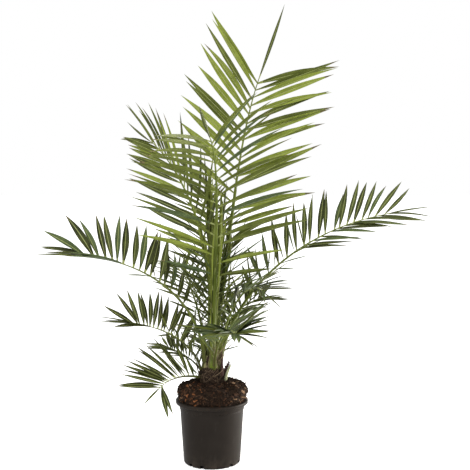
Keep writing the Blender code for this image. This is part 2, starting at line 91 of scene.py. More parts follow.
# Compost mound, from its level middle over the shoulder down to the pot's rim
SOIL_TOP = 0.270
SOIL_FLAT_RADIUS = 0.046
SOIL_EDGE_HEIGHT = 0.263
SOIL_EDGE_RADIUS = 0.104
SOIL_SHOULDER_HEIGHT = 0.246
SOIL_SHOULDER_RADIUS = 0.1140
SOIL_RIM_RADIUS = 0.1092
SOIL_RIM_HEIGHT = 0.209
SOIL_RUNS = (0, 0.30, 0.49, 0.68, 0.80, 1.0)
SOIL_TILT_RUNS = (0, 0.5, 0.74, 1.0)
SOIL_TILTS = (90, 84, 40, -5)
SOIL_WAVES = ((5, 40, 0.0030), (11, -90, 0.0020))
SOIL_LUMPS = ((0.0030, 55), (0.0016, 150))
SOIL_LEAN = 0.0075
SOIL_LEAN_HEADING = 4
SOIL_LEAN_RUN = 0.74
SOIL_LEAN_OVER = 0.22
SOIL_SLOPE_RISE = 0.6
SOIL_SWELL_FROM = 0.22
SOIL_SWELL_OVER = 0.12
SOIL_FLAT_LUMPS = 0.35
SOIL_FADE_FROM = 0.90
SOIL_FADE_OVER = 0.10
SOIL_SKIRT = 0.004
SOIL_SIDES = 150
SOIL_STEPS = 64

# Bark chips and crumbs: kinds, numbers, the bare ring that they leave round the stem, and sizes.
# Pairs of breadths are for the dark chips and for the bright ones, as shares of a chip's length
CHIP_FINISHES = ("chip_dark", "chip_brown", "chip_orange", "chip_tan")
DARK, BROWN, ORANGE, TAN = range(4)
ORANGE_HEADING = 216
TAN_HEADING = 338
CHIPS = 1500
CHIP_BARE_RADIUS = 0.040
CHIP_RUNS = (0.10, 1)
CHIP_OUTMOST = 0.97
CHIP_CROWDING = 0.6
CHIP_LENGTHS = (0.004, 0.012)
CHIP_BRIGHT_STRETCH = 1.30
CHIP_BREADTHS = ((0.30, 0.60), (0.18, 0.42))
CHIP_DEPTHS = (0.35, 0.70)
CHIP_THICKEST = 0.0026
CHIP_LEAN_SPREAD = 0.35
CHIP_LIFT = 0.45
CHIP_DENTS = 0.28
CRUMBS = 1300
CRUMB_BARE_RADIUS = 0.039
CRUMB_RUNS = (0.12, 1)
CRUMB_OUTMOST = 0.98
CRUMB_SIZES = (0.0009, 0.0034)
CRUMB_LIFT = 0.3
CRUMB_DENTS = (-0.25, 0.30)
BROWN_CRUMBS = 0.14

# Coir threads, some with an end that stands free, and the twigs that stand out over the mound's edge
COIR_THREADS = 320
COIR_RUNS = (0.16, 0.94)
COIR_SWEEPS = (-0.28, 0.28)
COIR_CLIMBS = (-0.12, 0.12)
COIR_LIFTS = (0.0004, 0.0028)
COIR_FREE_SHARE = 0.15
COIR_FREE_ENDS = (0.002, 0.008)
COIR_FOOT = 0.0008
COIR_THICKNESSES = (0.00022, 0.00045)
TWIG_THICKNESS = 0.0019
EDGE_TWIGS = (
    ((0.101, -0.010, 0.262), (0.1185, -0.006, 0.2755)),
    ((0.109, 0.004, 0.259), (0.1150, 0.000, 0.2715)),
    ((0.104, -0.020, 0.258), (0.1195, -0.018, 0.2640)),
    ((-0.098, 0.010, 0.258), (-0.1100, 0.006, 0.2670)),
)

# Stem base
STEM_HEIGHTS = (0.2703, 0.292, 0.335, 0.362, 0.400)
STEM_RADII = (0.036, 0.038, 0.030, 0.0215, 0.0170)
STEM_TOP = 0.362
STEM_SINK = 0.006
STEM_SIDES = 120
STEM_STEPS = 60
GAP = 0.0003

# Fibre on the stem base: woven strands, tufts about two headings with their spread, and loose hairs
FIBRE_STRANDS = 380
FIBRE_FOOT = 0.270
FIBRE_RISES = (0.010, 0.034)
FIBRE_SWEEPS = (0.15, 0.95)
FIBRE_STANDS = (0.0006, 0.0026)
FIBRE_FREE_SHARE = 0.12
FIBRE_FREE_ENDS = (0.004, 0.016)
FIBRE_THICKNESSES = (0.0003, 0.0008)
FIBRE_TUFTS = 420
FIBRE_TUFT_HEADINGS = ((346, 16), (186, 20))
TUFT_FOOT = 0.271
TUFT_RISES = (0.004, 0.022)
TUFT_SWEEPS = (-0.35, 0.35)
TUFT_STANDS = (0.001, 0.012)
TUFT_THICKNESSES = (0.0007, 0.0015)
LOOSE_HAIRS = 26
NECK_HAIRS = 26
NECK_STRANDS = (
    ((0.019, -0.036, 0.360), (0.021, -0.044, 0.392), (0.036, -0.046, 0.432)),
    ((0.021, -0.036, 0.372), (0.030, -0.042, 0.386), (0.044, -0.036, 0.400)),
    ((0.018, -0.037, 0.352), (0.019, -0.043, 0.375), (0.027, -0.043, 0.410)),
    ((0.004, -0.044, 0.300), (0.026, -0.048, 0.308), (0.043, -0.030, 0.328)),
    ((0.022, -0.036, 0.350), (0.036, -0.040, 0.366), (0.046, -0.028, 0.376)),
)
LONG_LOOP = ((-0.076, -0.030, 0.297), (-0.020, -0.047, 0.292), (0.036, -0.020, 0.352))

# Rachis: its width towards the tip, and its section as shares of its width and depth
RACHIS_TIP_SHARE = 0.14
RACHIS_TAPER = 1.15
RACHIS_DEPTH_SHARE = 0.62
RACHIS_FACE_SHARE = 0.36
RACHIS_SECTION = (
    (-0.50, 0.22), (-0.44, 0.36), (-0.16, 0.25), (0.16, 0.25), (0.44, 0.36),
    (0.50, 0.22), (0.34, -0.22), (0.12, -0.60), (-0.12, -0.60), (-0.34, -0.22),
)
RACHIS_BROWS = (0, 4)
RACHIS_STEPS = 30
FOOT_FLARE = 0.35
FOOT_FLARE_SHARE = 0.05

# Leaflets: the plain rule
LEAF_WIDEST = 0.42
LEAF_FOLD = 0.30
LEAF_THICKNESS_SHARE = 0.0105
LEAF_THINNEST = 0.0012
LEAF_ROOT_WIDTH_SHARE = 0.42
LEAF_SLIM_SHARE = 0.55
LEAF_CLEARANCE = 0.0005
LEAF_FIRST_SHARE = 0.45
LEAF_GROWTH = 2.2
LEAF_WASTE_POWER = 1.5
LEAF_NUDGES = ((0, 0), (9, 0), (-9, 0), (0, 7), (0, -7), (17, 3), (-17, 3), (26, -4), (-26, -4))
RANK_STAGGER = 0.25
LEAF_SCATTER = 0.30
LEAF_CROWDING = 0.76
LEAF_REACHES = (0.93, 1.03)
LEAF_WIDTHS = (0.88, 1.12)
LEAF_LEAN_SPREAD = 4.5
LEAF_OPENING_SPREAD = 3.0
END_LEAF_SINK = 0.006
END_LEAF_WIDTH_SHARE = 0.52

# Leaflets: how much finer they are here
FINER_PAIRS = 1.06
WIDER = {"left_long": 1.30, "left_low": 1.18, "left_lowest": 1.12, "tall_back": 1.06}
LEAF_STEPS = 10
LEAF_STEP_POWER = 1.15
LEAF_ROOT_SHARE = 0.32
LEAF_SWELL = 0.68
LEAF_TWIST_SPREAD = 16
LEAF_ARCHES = (0.004, 0.028)
LEAF_BOW_SPREAD = 0.010
LEAF_FOLDS = (20, 34)
LEAF_ROOT_FOLD = 26
DARK_GREENS = ("dark", "deep")
DARK_FOLD = 0.62
DRY_TIPS = 0.45
DRY_TIP_FROM = 0.93
PLAIN_TIP_FROM = 0.975
PALE_ROOT_TO = 0.035
LEAF_SKIN = 0.0005
LEAF_FULL_SKIN_HALF = 0.002
# Section of a leaflet: place across it, and depth below its upper skin as a share of its thickness
LEAF_SECTION = (
    (-1.0, 0.0), (-0.52, 0.0), (-0.10, 0.0), (0.10, 0.0), (0.52, 0.0),
    (1.0, 0.0), (0.55, 1.0), (0.0, 1.7), (-0.55, 1.0),
)
LEAF_MIDRIB = 2


@dataclass
class Frond:
    """One frond. Its blade is the stretch of rachis that carries leaflets."""

    name: str
    heading: float  # direction in which it leaves the stem
    perch: float  # distance of its foot from the axis on the crown, or 0 where it leans on the side
    foot: float  # height of its foot where it leans on the side
    rise: float  # climb of the rachis at the foot
    fall: float  # climb of the rachis at the tip
    bend: float  # below 1 it bends early, above 1 late
    sway: float  # sideways turn from foot to tip
    length: float  # rachis from foot to tip
    width: float  # petiole width at the foot
    bare: float  # share of the rachis below the first leaflets
    roll: float  # turn of the blade about the rachis
    twist: float  # further turn by the tip
    vee: float  # lift of both ranks above the blade's plane
    pairs: int  # leaflet pairs in the plain rule
    open: float  # angle of the first leaflets to the rachis
    close: float  # angle of the last leaflets to the rachis
    shut: float  # above 1 the leaflets close late, below 1 early
    blade: float  # longest leaflet
    waste: float  # share of length lost by the last leaflets
    end: float  # length of the end leaflet as a share of the longest
    droop: float  # sag of a leaflet's tip as a share of its length
    leaf_width: float  # width of the widest leaflet
    late: float = 0.0  # place along the blade before which its left rank has no leaflets
    late_right: float = 0.0  # the same for its right rank
    skew: float = 0.0  # how much more the right rank opens, and the left one less


FRONDS = [
    Frond("tall_front", 286, 0.013, 0, 84, 25, 1.70, -23, 0.845, 0.0215,
          0.28, 40, -69, 4, 15, 72, 36, 2.2, 0.340, 0.32, 0.68, 0.06, 0.0215),
    Frond("tall_back", 40, 0.013, 0, 81, 65, 4.0, 3, 0.965, 0.0205,
          0.30, 25, -78, 3, 17, 68, 49, 1.4, 0.308, 0.00, 0.99, 0.01, 0.0250, 0.0, 0.0, 5),
    Frond("right_long", 7, 0, 0.342, 87, 8.5, 0.68, 5, 0.820, 0.0165,
          0.28, -27, -13, 16, 17, 57, 30, 2.6, 0.208, 0.19, 0.88, 0.01, 0.0200, 0.0, 0.36, -5),
    Frond("left_long", 209, 0, 0.345, 95, 4, 0.74, -26, 0.590, 0.0170,
          0.30, 20, 15, 17, 15, 54, -4, 8.0, 0.208, 0.12, 0.80, 0.02, 0.0205, 0.64, 0.0, 28),
    Frond("left_low", 192, 0, 0.316, 85, 8, 0.57, 12, 0.306, 0.0135,
          0.25, 35, 8, 28, 15, 60, -16, 8.0, 0.126, 0.00, 1.00, 0.01, 0.0150, 0.66, 0.0, 26),
    Frond("left_lowest", 205, 0, 0.291, 16, -27, 1.19, 27, 0.174, 0.011,
          0.12, 52, -28, 11, 13, 80, 46, 1.0, 0.172, 0.12, 0.55, 0.00, 0.0150, 0.84),
    Frond("right_front", 324, 0, 0.343, 80, -12, 1.83, -29, 0.405, 0.0130,
          0.45, -39, 35, 6, 12, 48, 38, 1.8, 0.160, 0.34, 1.00, 0.06, 0.0155, 0.0, 0.0, -12),
    Frond("front_low", 283, 0, 0.322, 74, -2, 0.86, 7, 0.318, 0.011,
          0.40, -10, -3, 22, 12, 68, 14, 2.4, 0.205, 0.27, 0.80, 0.02, 0.0215),
    Frond("upper_left", 152, 0.013, 0, 98, 23, 1.31, -29, 0.860, 0.0200,
          0.36, 78, 10, 20, 15, 60, 14, 0.9, 0.275, 0.18, 0.80, 0.01, 0.0205),
    Frond("spear_back", 96, 0.0170, 0, 90, 86, 1.0, 60, 0.500, 0.009,
          0.36, 40, 0, 40, 8, 13, 6, 1.0, 0.210, 0.25, 0.90, 0.00, 0.0170),
    Frond("spear_right", 343, 0.0170, 0, 89, 85, 1.0, 0, 0.420, 0.009,
          0.36, 40, 0, 40, 7, 13, 6, 1.0, 0.200, 0.25, 0.90, 0.00, 0.0170),
    Frond("left_short", 163, 0, 0.305, 70, 5, 0.50, -25, 0.160, 0.010,
          0.35, 10, 8, 20, 8, 60, 26, 2.0, 0.140, 0.40, 0.70, 0.05, 0.0150),
    Frond("back_upper", 92, 0, 0.345, 88, 24, 1.4, 10, 0.640, 0.0150,
          0.32, 10, 10, 20, 14, 66, 34, 2.0, 0.190, 0.30, 0.75, 0.04, 0.0150),
    Frond("back_right", 42, 0, 0.334, 87, 2, 1.2, -10, 0.300, 0.0130,
          0.36, -12, -10, 22, 11, 58, 34, 2.0, 0.135, 0.15, 0.90, 0.05, 0.0140),
    Frond("back_left", 117, 0, 0.320, 78, 14, 1.2, -4, 0.430, 0.0130,
          0.32, 12, 10, 20, 11, 60, 24, 2.0, 0.185, 0.30, 0.75, 0.05, 0.0125),
    Frond("back_low", 76, 0, 0.306, 66, -6, 0.85, -6, 0.360, 0.0130,
          0.30, 0, 0, 20, 12, 62, 30, 2.0, 0.150, 0.30, 0.80, 0.05, 0.0130),
    Frond("right_low", 100, 0, 0.296, 54, -12, 0.80, 4, 0.240, 0.011,
          0.30, -8, 0, 20, 9, 62, 30, 2.0, 0.100, 0.30, 0.80, 0.04, 0.0150),
]

# Greens of the leaflets, dealt out leaflet by leaflet on each frond. The paler grey-green one paints the
# sheen of leaflets whose upper sides face the light
GREENS = {
    "fresh": (0.143, 0.173, 0.029),
    "mid": (0.068, 0.083, 0.016),
    "deep": (0.034, 0.042, 0.011),
    "dark": (0.018, 0.022, 0.006),
    # Paler grey-green: painted sheen of leaflets facing the light, not a leaf colour of its own
    "grey": (0.050, 0.070, 0.028),
}
FROND_GREENS = {
    "tall_back": "fresh fresh fresh mid",
    "tall_front": "mid mid fresh mid grey",
    "upper_left": "mid fresh deep deep",
    "spear_back": "fresh mid fresh mid",
    "spear_right": "fresh mid fresh mid",
    "right_long": "deep dark deep grey",
    "left_long": "deep dark grey dark",
    "left_low": "dark deep dark",
    "left_lowest": "dark deep dark",
    "right_front": "deep grey dark",
    "front_low": "grey deep grey mid",
    "back_upper": "mid mid deep",
}
OTHER_GREENS = "deep mid dark deep"

# Broad leaflets that spread like a fan from a tip: heading, climb, length, width and green of each
FAN_LEAVES = {
    "front_low": (
        (338, 46, 0.150, 0.0170, "deep"),
        (344, 31, 0.136, 0.0180, "dark"),
        (340, 19, 0.128, 0.0190, "dark"),
        (346, 9, 0.118, 0.0185, "dark"),
        (338, -1, 0.112, 0.0175, "deep"),
        (342, -25, 0.090, 0.0150, "dark"),
        (196, 12, 0.205, 0.0190, "mid"),
        # The grey-green broad leaflets here carry painted sheen
        (190, 5, 0.185, 0.0200, "grey"),
        (200, -3, 0.160, 0.0180, "grey"),
        (214, 2, 0.150, 0.0190, "mid"),
    ),
}
FAN_DROOP = 0.02

# Spines, then narrow leaflets up to the blade. Pairs are for fronds on the stem's side and on the crown
SPINES_FROM = 0.30
SPINE_RADIUS = 0.0009
SPINE_SCATTER = (0.1, 0.9)
SPINE_ASIDE = 0.42
SPINE_ABOVE = 0.15
SPINE_LIFTS = (5, 40)
SPINE_OPENINGS = (32, 72)
SPINE_SCALES = (0.35, 1.0)
SPINE_LEAST = 0.007
SPINE_GROWTH = 0.031
SLIM_FROM = (0.36, 0.50)
SLIM_PAST = (0.46, 0.10)
SLIM_REACH = (0.70, 0.86)
SLIM_PER_METRE = (27, 42)
SLIM_FEWEST = 8
SLIM_SCALES = (0.45, 1.0)
SLIM_WIDTHS = (0.0042, 0.0080)
# Their grey-green is painted sheen
SLIM_GREENS = ("mid", "deep", "grey")
OTHER_STARTS = {"left_lowest": 0.14, "left_low": 0.22, "left_short": 0.20}
OTHER_PER_METRE = {"upper_left": 22, "left_long": 17, "left_low": 22, "left_lowest": 70}

# Young blades beside the tall petioles
YOUNG_BLADES = 46
YOUNG_BESIDE = ("tall_front", "tall_back", "upper_left")
YOUNG_GREENS = ("fresh", "mid", "deep", "fresh")
YOUNG_PLACES = (0.02, 0.36)
YOUNG_LEANS = (-0.01, 0.07)
YOUNG_STANDS = (0.006, 0.013)
YOUNG_REACHES = (0.16, 0.34)
YOUNG_WIDTHS = (0.007, 0.012)

# Leaf bases that clasp the stem
SHEATH_SIDES = 16
SHEATH_STEPS = 14
SHEATH_LOWEST = 0.274
OLIVE_FROM = 0.31

# Cut stalks
STUB_RISE = 68
STUB_STEPS = 12
STUB_TAPER = 0.42
STUB_DEPTH_SHARE = 0.45
STUB_HAIRS = 16

# Lights that shine from a disc: name, place, what it faces, size, power and colour
LIGHTS = (
    ("key", (-1.6, -2.6, 3.0), (0, 0, 0.8), 1.6, 80, (1, 1, 1)),
    ("side", (2.6, -0.6, 1.6), (0, 0, 0.5), 1.2, 30, (1, 1, 1)),
    ("edge", (2.4, 0.7, 0.4), (0, 0, 0.12), 0.9, 160, (1.0, 0.95, 0.88)),
)
SUN_POWER = 1.8
SUN_SOFTNESS = 70
SUN_TILT = (18, -12)
FLOOR_SIZE = 30


# Shader maths


class Value:
    """A shader socket that joins in sums: each operator adds one Math node."""

    def __init__(self, finish, socket):
        self.finish = finish
        self.socket = socket

    def sum_of(self, operation, first, second):
        return self.finish.add("ShaderNodeMath", {"operation": operation}, {0: first, 1: second})

    def __add__(self, other):
        return self.sum_of("ADD", self, other)

    def __radd__(self, other):
        return self.sum_of("ADD", other, self)

    def __sub__(self, other):
        return self.sum_of("SUBTRACT", self, other)

    def __rsub__(self, other):
        return self.sum_of("SUBTRACT", other, self)

    def __mul__(self, other):
        return self.sum_of("MULTIPLY", self, other)

    def __rmul__(self, other):
        return self.sum_of("MULTIPLY", other, self)


class Finish:
    """A Principled material that is written as expressions on its patterns."""

    def __init__(self, name, **constants):
        self.material = bpy.data.materials.new(name)
        self.material.use_nodes = True
        self.tree = self.material.node_tree
        self.shader = self.tree.nodes["Principled BSDF"]
        for socket, value in constants.items():
            name_there = socket.replace("_", " ").title().replace("Ior", "IOR")
            self.shader.inputs[name_there].default_value = value

    def add(self, kind, settings=None, inputs=None, output=0):
        """Any node: its settings first, then its sockets, and the chosen output as a Value."""
        node = self.tree.nodes.new(kind)
        for name, value in (settings or {}).items():
            setattr(node, name, value)
        for socket, value in (inputs or {}).items():
            self.feed(node.inputs[socket], value)
        return Value(self, node.outputs[output])

    def feed(self, socket, value):
        if isinstance(value, Value):
            self.tree.links.new(value.socket, socket)
        elif isinstance(value, tuple) and len(value) == 3 and socket.type == "RGBA":
            socket.default_value = (*value, 1)
        else:
            socket.default_value = value

    def set(self, socket, value):
        self.feed(self.shader.inputs[socket], value)

    def place(self, stretch=(1, 1, 1)):
        """Object coordinates, stretched."""
        spot = self.add("ShaderNodeTexCoord", output="Object")
        return self.add("ShaderNodeMapping", None, {"Vector": spot, "Scale": stretch})

    def coordinate(self, kind, axis):
        """One number of the Object or UV coordinates."""
        spot = self.add("ShaderNodeTexCoord", output=kind)
        return self.add("ShaderNodeSeparateXYZ", None, {0: spot}, axis)

    def noise(self, scale, detail=3, roughness=0.6, spot=None):
        sockets = {"Vector": spot or self.place(), "Scale": scale, "Detail": detail, "Roughness": roughness}
        return self.add("ShaderNodeTexNoise", None, sockets)

    def window(self, value, low, high):
        """0 where the value is at low or under, 1 at high or over."""
        sockets = {"Value": value, "From Min": low, "From Max": high}
        return self.add("ShaderNodeMapRange", {"clamp": True}, sockets)

    def blend(self, first, second, share):
        """Colour between first and second."""
        mix = {"data_type": "RGBA", "clamp_factor": True}
        return self.add("ShaderNodeMix", mix, {0: share, 6: first, 7: second}, output=2)

    def bump(self, height, strength, distance):
        sockets = {"Height": height, "Strength": strength, "Distance": distance}
        self.set("Normal", self.add("ShaderNodeBump", None, sockets))


def shade_of(colour, factor):
    return tuple(channel * factor for channel in colour)


def toward(colour, other, share):
    return tuple(one * (1 - share) + two * share for one, two in zip(colour, other))


def leaf_finish(name, colour):
    """Waxy leaf skin: soft blotches, fine veins along the blade and a sheen that comes and goes."""
    leaf = Finish(name, specular_ior_level=0.06)
    veins = leaf.add("ShaderNodeMath", {"operation": "SINE"}, {0: leaf.coordinate("UV", 0) * 150})
    blotch = leaf.window(leaf.noise(22, 4), 0.35, 0.70)
    speck = leaf.window(leaf.noise(160, 2), 0.40, 0.75)
    pale = toward(shade_of(colour, 1.22), (0.20, 0.21, 0.05), 0.10)
    tone = leaf.blend(shade_of(colour, 0.80), pale, blotch)
    tone = leaf.blend(tone, shade_of(colour, 0.70), speck * 0.35)
    leaf.set("Base Color", tone)
    leaf.set("Roughness", 0.36 + blotch * 0.14)
    leaf.bump(veins * 0.5 + speck, 0.30, 0.0002)
    return leaf.material


def plain_organic(name, colour, other, scale, roughness, stretch=(1, 1, 1), bump=0.0006):
    """Two tones mixed by stretched noise, with matching relief."""
    finish = Finish(name, specular_ior_level=0.08)
    pattern = finish.noise(scale, 5, 0.65, finish.place(stretch))
    share = finish.window(pattern, 0.36, 0.66)
    finish.set("Base Color", finish.blend(colour, other, share))
    finish.set("Roughness", roughness - share * 0.12)
    finish.bump(pattern, 0.6, bump)
    return finish.material


def rachis_finish(name, colour, other):
    """Green stalk that turns olive brown towards its foot."""
    stalk = Finish(name, specular_ior_level=0.08)
    share = stalk.window(stalk.noise(40, 5, 0.65, stalk.place((1, 1, 0.2))), 0.36, 0.66)
    tone = stalk.blend(colour, other, share)
    foot = stalk.window(stalk.coordinate("Object", 2), 0.47, 0.36)
    stalk.set("Base Color", stalk.blend(tone, (0.034, 0.031, 0.009), foot * 0.75))
    stalk.set("Roughness", 0.46 - share * 0.10)
    return stalk.material


def pot_finish():
    """Dark recycled plastic: cloudy tone, fine grain, dusty foot and dull scuffs."""
    pot = Finish("pot_plastic", specular_ior_level=0.045)
    height = pot.coordinate("Object", 2)
    cloud = pot.window(pot.noise(9, 5), 0.32, 0.70)
    scuff = pot.window(pot.noise(70, 6, 0.7, pot.place((1, 1, 0.22))), 0.56, 0.74)
    grain = pot.noise(900, 2)
    dust = pot.window(height, 0.05, 0.0) * pot.window(pot.noise(40, 5), 0.42, 0.70)
    splash = pot.window(height, 0.178, 0.212) * pot.window(pot.noise(120, 4), 0.52, 0.66)
    tone = pot.blend((0.0095, 0.0074, 0.0058), (0.0138, 0.0110, 0.0088), cloud)
    tone = pot.blend(tone, (0.034, 0.030, 0.026), scuff * 0.30)
    tone = pot.blend(tone, (0.060, 0.048, 0.036), dust * 0.35)
    tone = pot.blend(tone, (0.030, 0.018, 0.011), splash * 0.45)
    pot.set("Base Color", tone)
    pot.set("Roughness", 0.42 + cloud * 0.10 + scuff * 0.12)
    pot.bump(grain * 0.6 + scuff * 0.4, 0.25, 0.0003)
    return pot.material


def floor_finish():
    floor = Finish("floor_paper", roughness=0.9, specular_ior_level=0.1)
    floor.set("Base Color", (0.86, 0.86, 0.86))
    floor.set("Emission Color", (1, 1, 1))
    floor.set("Emission Strength", 0.25)
    return floor.material


# Plain finishes: two tones, scale of their pattern, roughness, stretch of the pattern, depth of its relief
PLAIN_FINISHES = {
    "leaf_pale": ((0.150, 0.175, 0.048), (0.210, 0.225, 0.090), 60, 0.5),
    "leaf_tip_dry": ((0.055, 0.050, 0.020), (0.110, 0.090, 0.040), 90, 0.6),
    # Near-black finish inside the drain notches: painted shade, not the plastic's own colour
    "pot_hole": ((0.0020, 0.0016, 0.0013), (0.0045, 0.0035, 0.0028), 120, 0.9),
    "compost_dark": ((0.005, 0.0030, 0.0018), (0.020, 0.0105, 0.0058), 150, 0.95, (1, 1, 1), 0.0020),
    "chip_dark": ((0.006, 0.0036, 0.0022), (0.020, 0.0110, 0.0062), 140, 0.9),
    "chip_brown": ((0.022, 0.0105, 0.0055), (0.048, 0.022, 0.011), 140, 0.85),
    "chip_orange": ((0.085, 0.030, 0.011), (0.170, 0.066, 0.025), 140, 0.8),
    "chip_tan": ((0.085, 0.048, 0.026), (0.200, 0.125, 0.074), 140, 0.8),
    "fibre_dark": ((0.007, 0.0045, 0.0035), (0.028, 0.017, 0.011), 120, 0.9, (1, 1, 0.5), 0.0015),
    "fibre_brown": ((0.030, 0.019, 0.012), (0.066, 0.044, 0.028), 90, 0.85),
    "fibre_pale": ((0.085, 0.060, 0.039), (0.170, 0.125, 0.080), 90, 0.8),
    "sheath_green": ((0.040, 0.056, 0.006), (0.085, 0.108, 0.012), 70, 0.45, (1, 1, 0.15)),
    "sheath_olive": ((0.034, 0.034, 0.009), (0.075, 0.072, 0.024), 80, 0.6, (1, 1, 0.15)),
    "sheath_brown": ((0.022, 0.014, 0.009), (0.055, 0.037, 0.020), 90, 0.85, (1, 1, 0.15)),
    "sheath_edge": ((0.080, 0.074, 0.030), (0.165, 0.150, 0.070), 110, 0.7, (1, 1, 0.2)),
    "sheath_maroon": ((0.018, 0.009, 0.008), (0.045, 0.023, 0.019), 110, 0.85, (1, 1, 0.12)),
    "stub_pale": ((0.160, 0.170, 0.095), (0.290, 0.290, 0.185), 110, 0.7, (1, 1, 0.12)),
}


def make_finishes():
    """All finishes by name. The greens go by their short names."""
    made = {name: leaf_finish("leaf_" + name, colour) for name, colour in GREENS.items()}
    made["rachis_green"] = rachis_finish("rachis_green", (0.050, 0.068, 0.008), (0.094, 0.115, 0.020))
    made["rachis_brow"] = rachis_finish("rachis_brow", (0.115, 0.135, 0.038), (0.180, 0.195, 0.075))
    made["pot_plastic"] = pot_finish()
    made["floor_paper"] = floor_finish()
    for name, row in PLAIN_FINISHES.items():
        made[name] = plain_organic(name, *row)
    return made


FINISHES = make_finishes()


# Mesh helpers


def on_circle(turn, radius, height):
    return Vector((math.cos(turn) * radius, math.sin(turn) * radius, height))


def nearest(around, count):
    """Number of the point at a share round a ring of count points."""
    return round(around * count) % count


def bowed(start, end, bow=UP * 0):
    """A line from start to end, as a function of a share, that is off the straight by bow half way."""
    return lambda along: start.lerp(end, along) + bow * math.sin(math.pi * along)


def bent(first, second, third):
    """A line from first to third that bends towards second."""
    return lambda along: first.lerp(second, along).lerp(second.lerp(third, along), along)


def skin(bm, sides, steps, place, kind=None):
    """A sheet rolled into a closed skin. place gives its points from shares round it and along it."""
    verts = bmesh.ops.create_grid(bm, x_segments=sides, y_segments=steps, size=0.5)["verts"]
    coordinates = bm.loops.layers.uv.verify()
    for face in {face for vert in verts for face in vert.link_faces}:
        middle = face.calc_center_median()
        face.material_index = kind(middle.x + 0.5, middle.y + 0.5) if kind else 0
        face.smooth = True
        for loop in face.loops:
            loop[coordinates].uv = (loop.vert.co.x + 0.5, loop.vert.co.y + 0.5)
    for vert in verts:
        vert.co = place(vert.co.x + 0.5, vert.co.y + 0.5)
    return verts


def strand(bm, line, radius, sides=4, steps=6, kind=0):
    """A thread along line, a function of a share, that runs out to a point at both ends."""
    step = 0.5 / steps
    reference = (line(1) - line(0)).orthogonal().normalized()

    def place(around, along):
        heading = (line(min(1, along + step)) - line(max(0, along - step))).normalized()
        first = heading.cross(reference).normalized()
        second = heading.cross(first)
        turn = math.tau * nearest(around, sides) / sides
        thick = radius * math.sin(math.pi * along) ** 0.35 if 0.001 < along < 0.999 else 0
        return line(along) + thick * (math.cos(turn) * first + math.sin(turn) * second)

    skin(bm, sides, steps, place, lambda around, along: kind)


def kinds_of(greens):
    """Slots of a leafy piece by finish: its greens, then the pale and dry ones that all leaflets share."""
    names = (*dict.fromkeys(greens), "leaf_pale", "leaf_tip_dry")
    return {name: number for number, name in enumerate(names)}


def put(name, data):
    made = bpy.data.objects.new(name, data)
    bpy.context.scene.collection.objects.link(made)
    return made


def put_mesh(name, bm, finishes):
    mesh = bpy.data.meshes.new(name)
    bm.to_mesh(mesh)
    bm.free()
    for finish in finishes:
        mesh.materials.append(FINISHES[finish])
    return put(name, mesh)


def finish_piece(name, bm, finishes, slot, sharp=40, replaced=()):
    """Closes the seams, turns every face outwards and puts the piece on the model."""
    bmesh.ops.remove_doubles(bm, verts=bm.verts, dist=SAME_POINT)
    bmesh.ops.dissolve_degenerate(bm, edges=bm.edges, dist=SAME_POINT)
    bmesh.ops.recalc_face_normals(bm, faces=bm.faces)
    piece = put_mesh(name, bm, finishes)
    piece.data.set_sharp_from_angle(angle=math.radians(sharp))
    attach(piece, "root")
    if replaced:
        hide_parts(*replaced)
    return piece


# Frond rule


def directions(heading, climb):
    """Tangent, side and face vectors of a rachis with this heading and climb."""
    turn = math.radians(heading)
    lift = math.radians(climb)
    tangent = Vector((math.cos(lift) * math.cos(turn), math.cos(lift) * math.sin(turn), math.sin(lift)))
    side = Vector((math.sin(turn), -math.cos(turn), 0))
    return tangent, side, side.cross(tangent)


def stem_radius(height):
    return float(np.interp(height, STEM_HEIGHTS, STEM_RADII))


def three_sided(centre, side, face, width):
    depth = width * RACHIS_DEPTH_SHARE
    brow = centre + face * depth * RACHIS_FACE_SHARE
    keel = centre - face * depth * (1 - RACHIS_FACE_SHARE)
    return [brow + side * width / 2, brow - side * width / 2, keel]


def foot_centre(heading, rise, width, height, perch):
    """Where a foot's centre goes, so that its section clears the stem base by the gap."""
    outward = directions(heading, 0)[0]
    tangent, side, face = directions(heading, rise)
    if perch:
        corners = three_sided(Vector(), side, face, width)
        return outward * perch + UP * (STEM_TOP + GAP - min(corner.z for corner in corners))
    centre = outward * (stem_radius(height) + GAP) + UP * height
    for _ in range(3):
        corners = three_sided(centre, side, face, width)
        corners.append((corners[0] + corners[1]) / 2)
        short = max(stem_radius(corner.z) + GAP - math.hypot(corner.x, corner.y) for corner in corners)
        centre = centre + outward * short
    return centre


class Rachis:
    """The line of a frond's rachis, read at any share of its length."""

    FINE_STEPS = 60

    def __init__(self, frond):
        self.frond = frond
        self.points = [foot_centre(frond.heading, frond.rise, frond.width, frond.foot, frond.perch)]
        for step in range(self.FINE_STEPS):
            tangent = directions(*self.angles_at((step + 0.5) / self.FINE_STEPS))[0]
            self.points.append(self.points[-1] + tangent * frond.length / self.FINE_STEPS)

    def angles_at(self, share):
        frond = self.frond
        climb = frond.rise + (frond.fall - frond.rise) * share**frond.bend
        return frond.heading + frond.sway * share, climb

    def at(self, share):
        """Point, tangent, side and face there. The petiole's roll comes in by the first leaflets."""
        frond = self.frond
        step = min(self.FINE_STEPS - 1, int(share * self.FINE_STEPS))
        point = self.points[step].lerp(self.points[step + 1], share * self.FINE_STEPS - step)
        tangent, side, face = directions(*self.angles_at(share))
        ease = min(1.0, share / frond.bare)
        roll = math.radians(frond.roll * ease * ease * (3 - 2 * ease) + frond.twist * share)
        rolled = math.cos(roll) * side + math.sin(roll) * face
        return point, tangent, rolled, math.cos(roll) * face - math.sin(roll) * side


def rachis_width(frond, share):
    return frond.width * (RACHIS_TIP_SHARE + (1 - RACHIS_TIP_SHARE) * (1 - share) ** RACHIS_TAPER)


def leaf_length(frond, place):
    grown = min(1.0, LEAF_FIRST_SHARE + LEAF_GROWTH * place)
    return frond.blade * grown * (1 - frond.waste * place**LEAF_WASTE_POWER)


def leaf_width(frond, reach):
    return frond.leaf_width * (LEAF_SLIM_SHARE + (1 - LEAF_SLIM_SHARE) * reach / frond.blade)


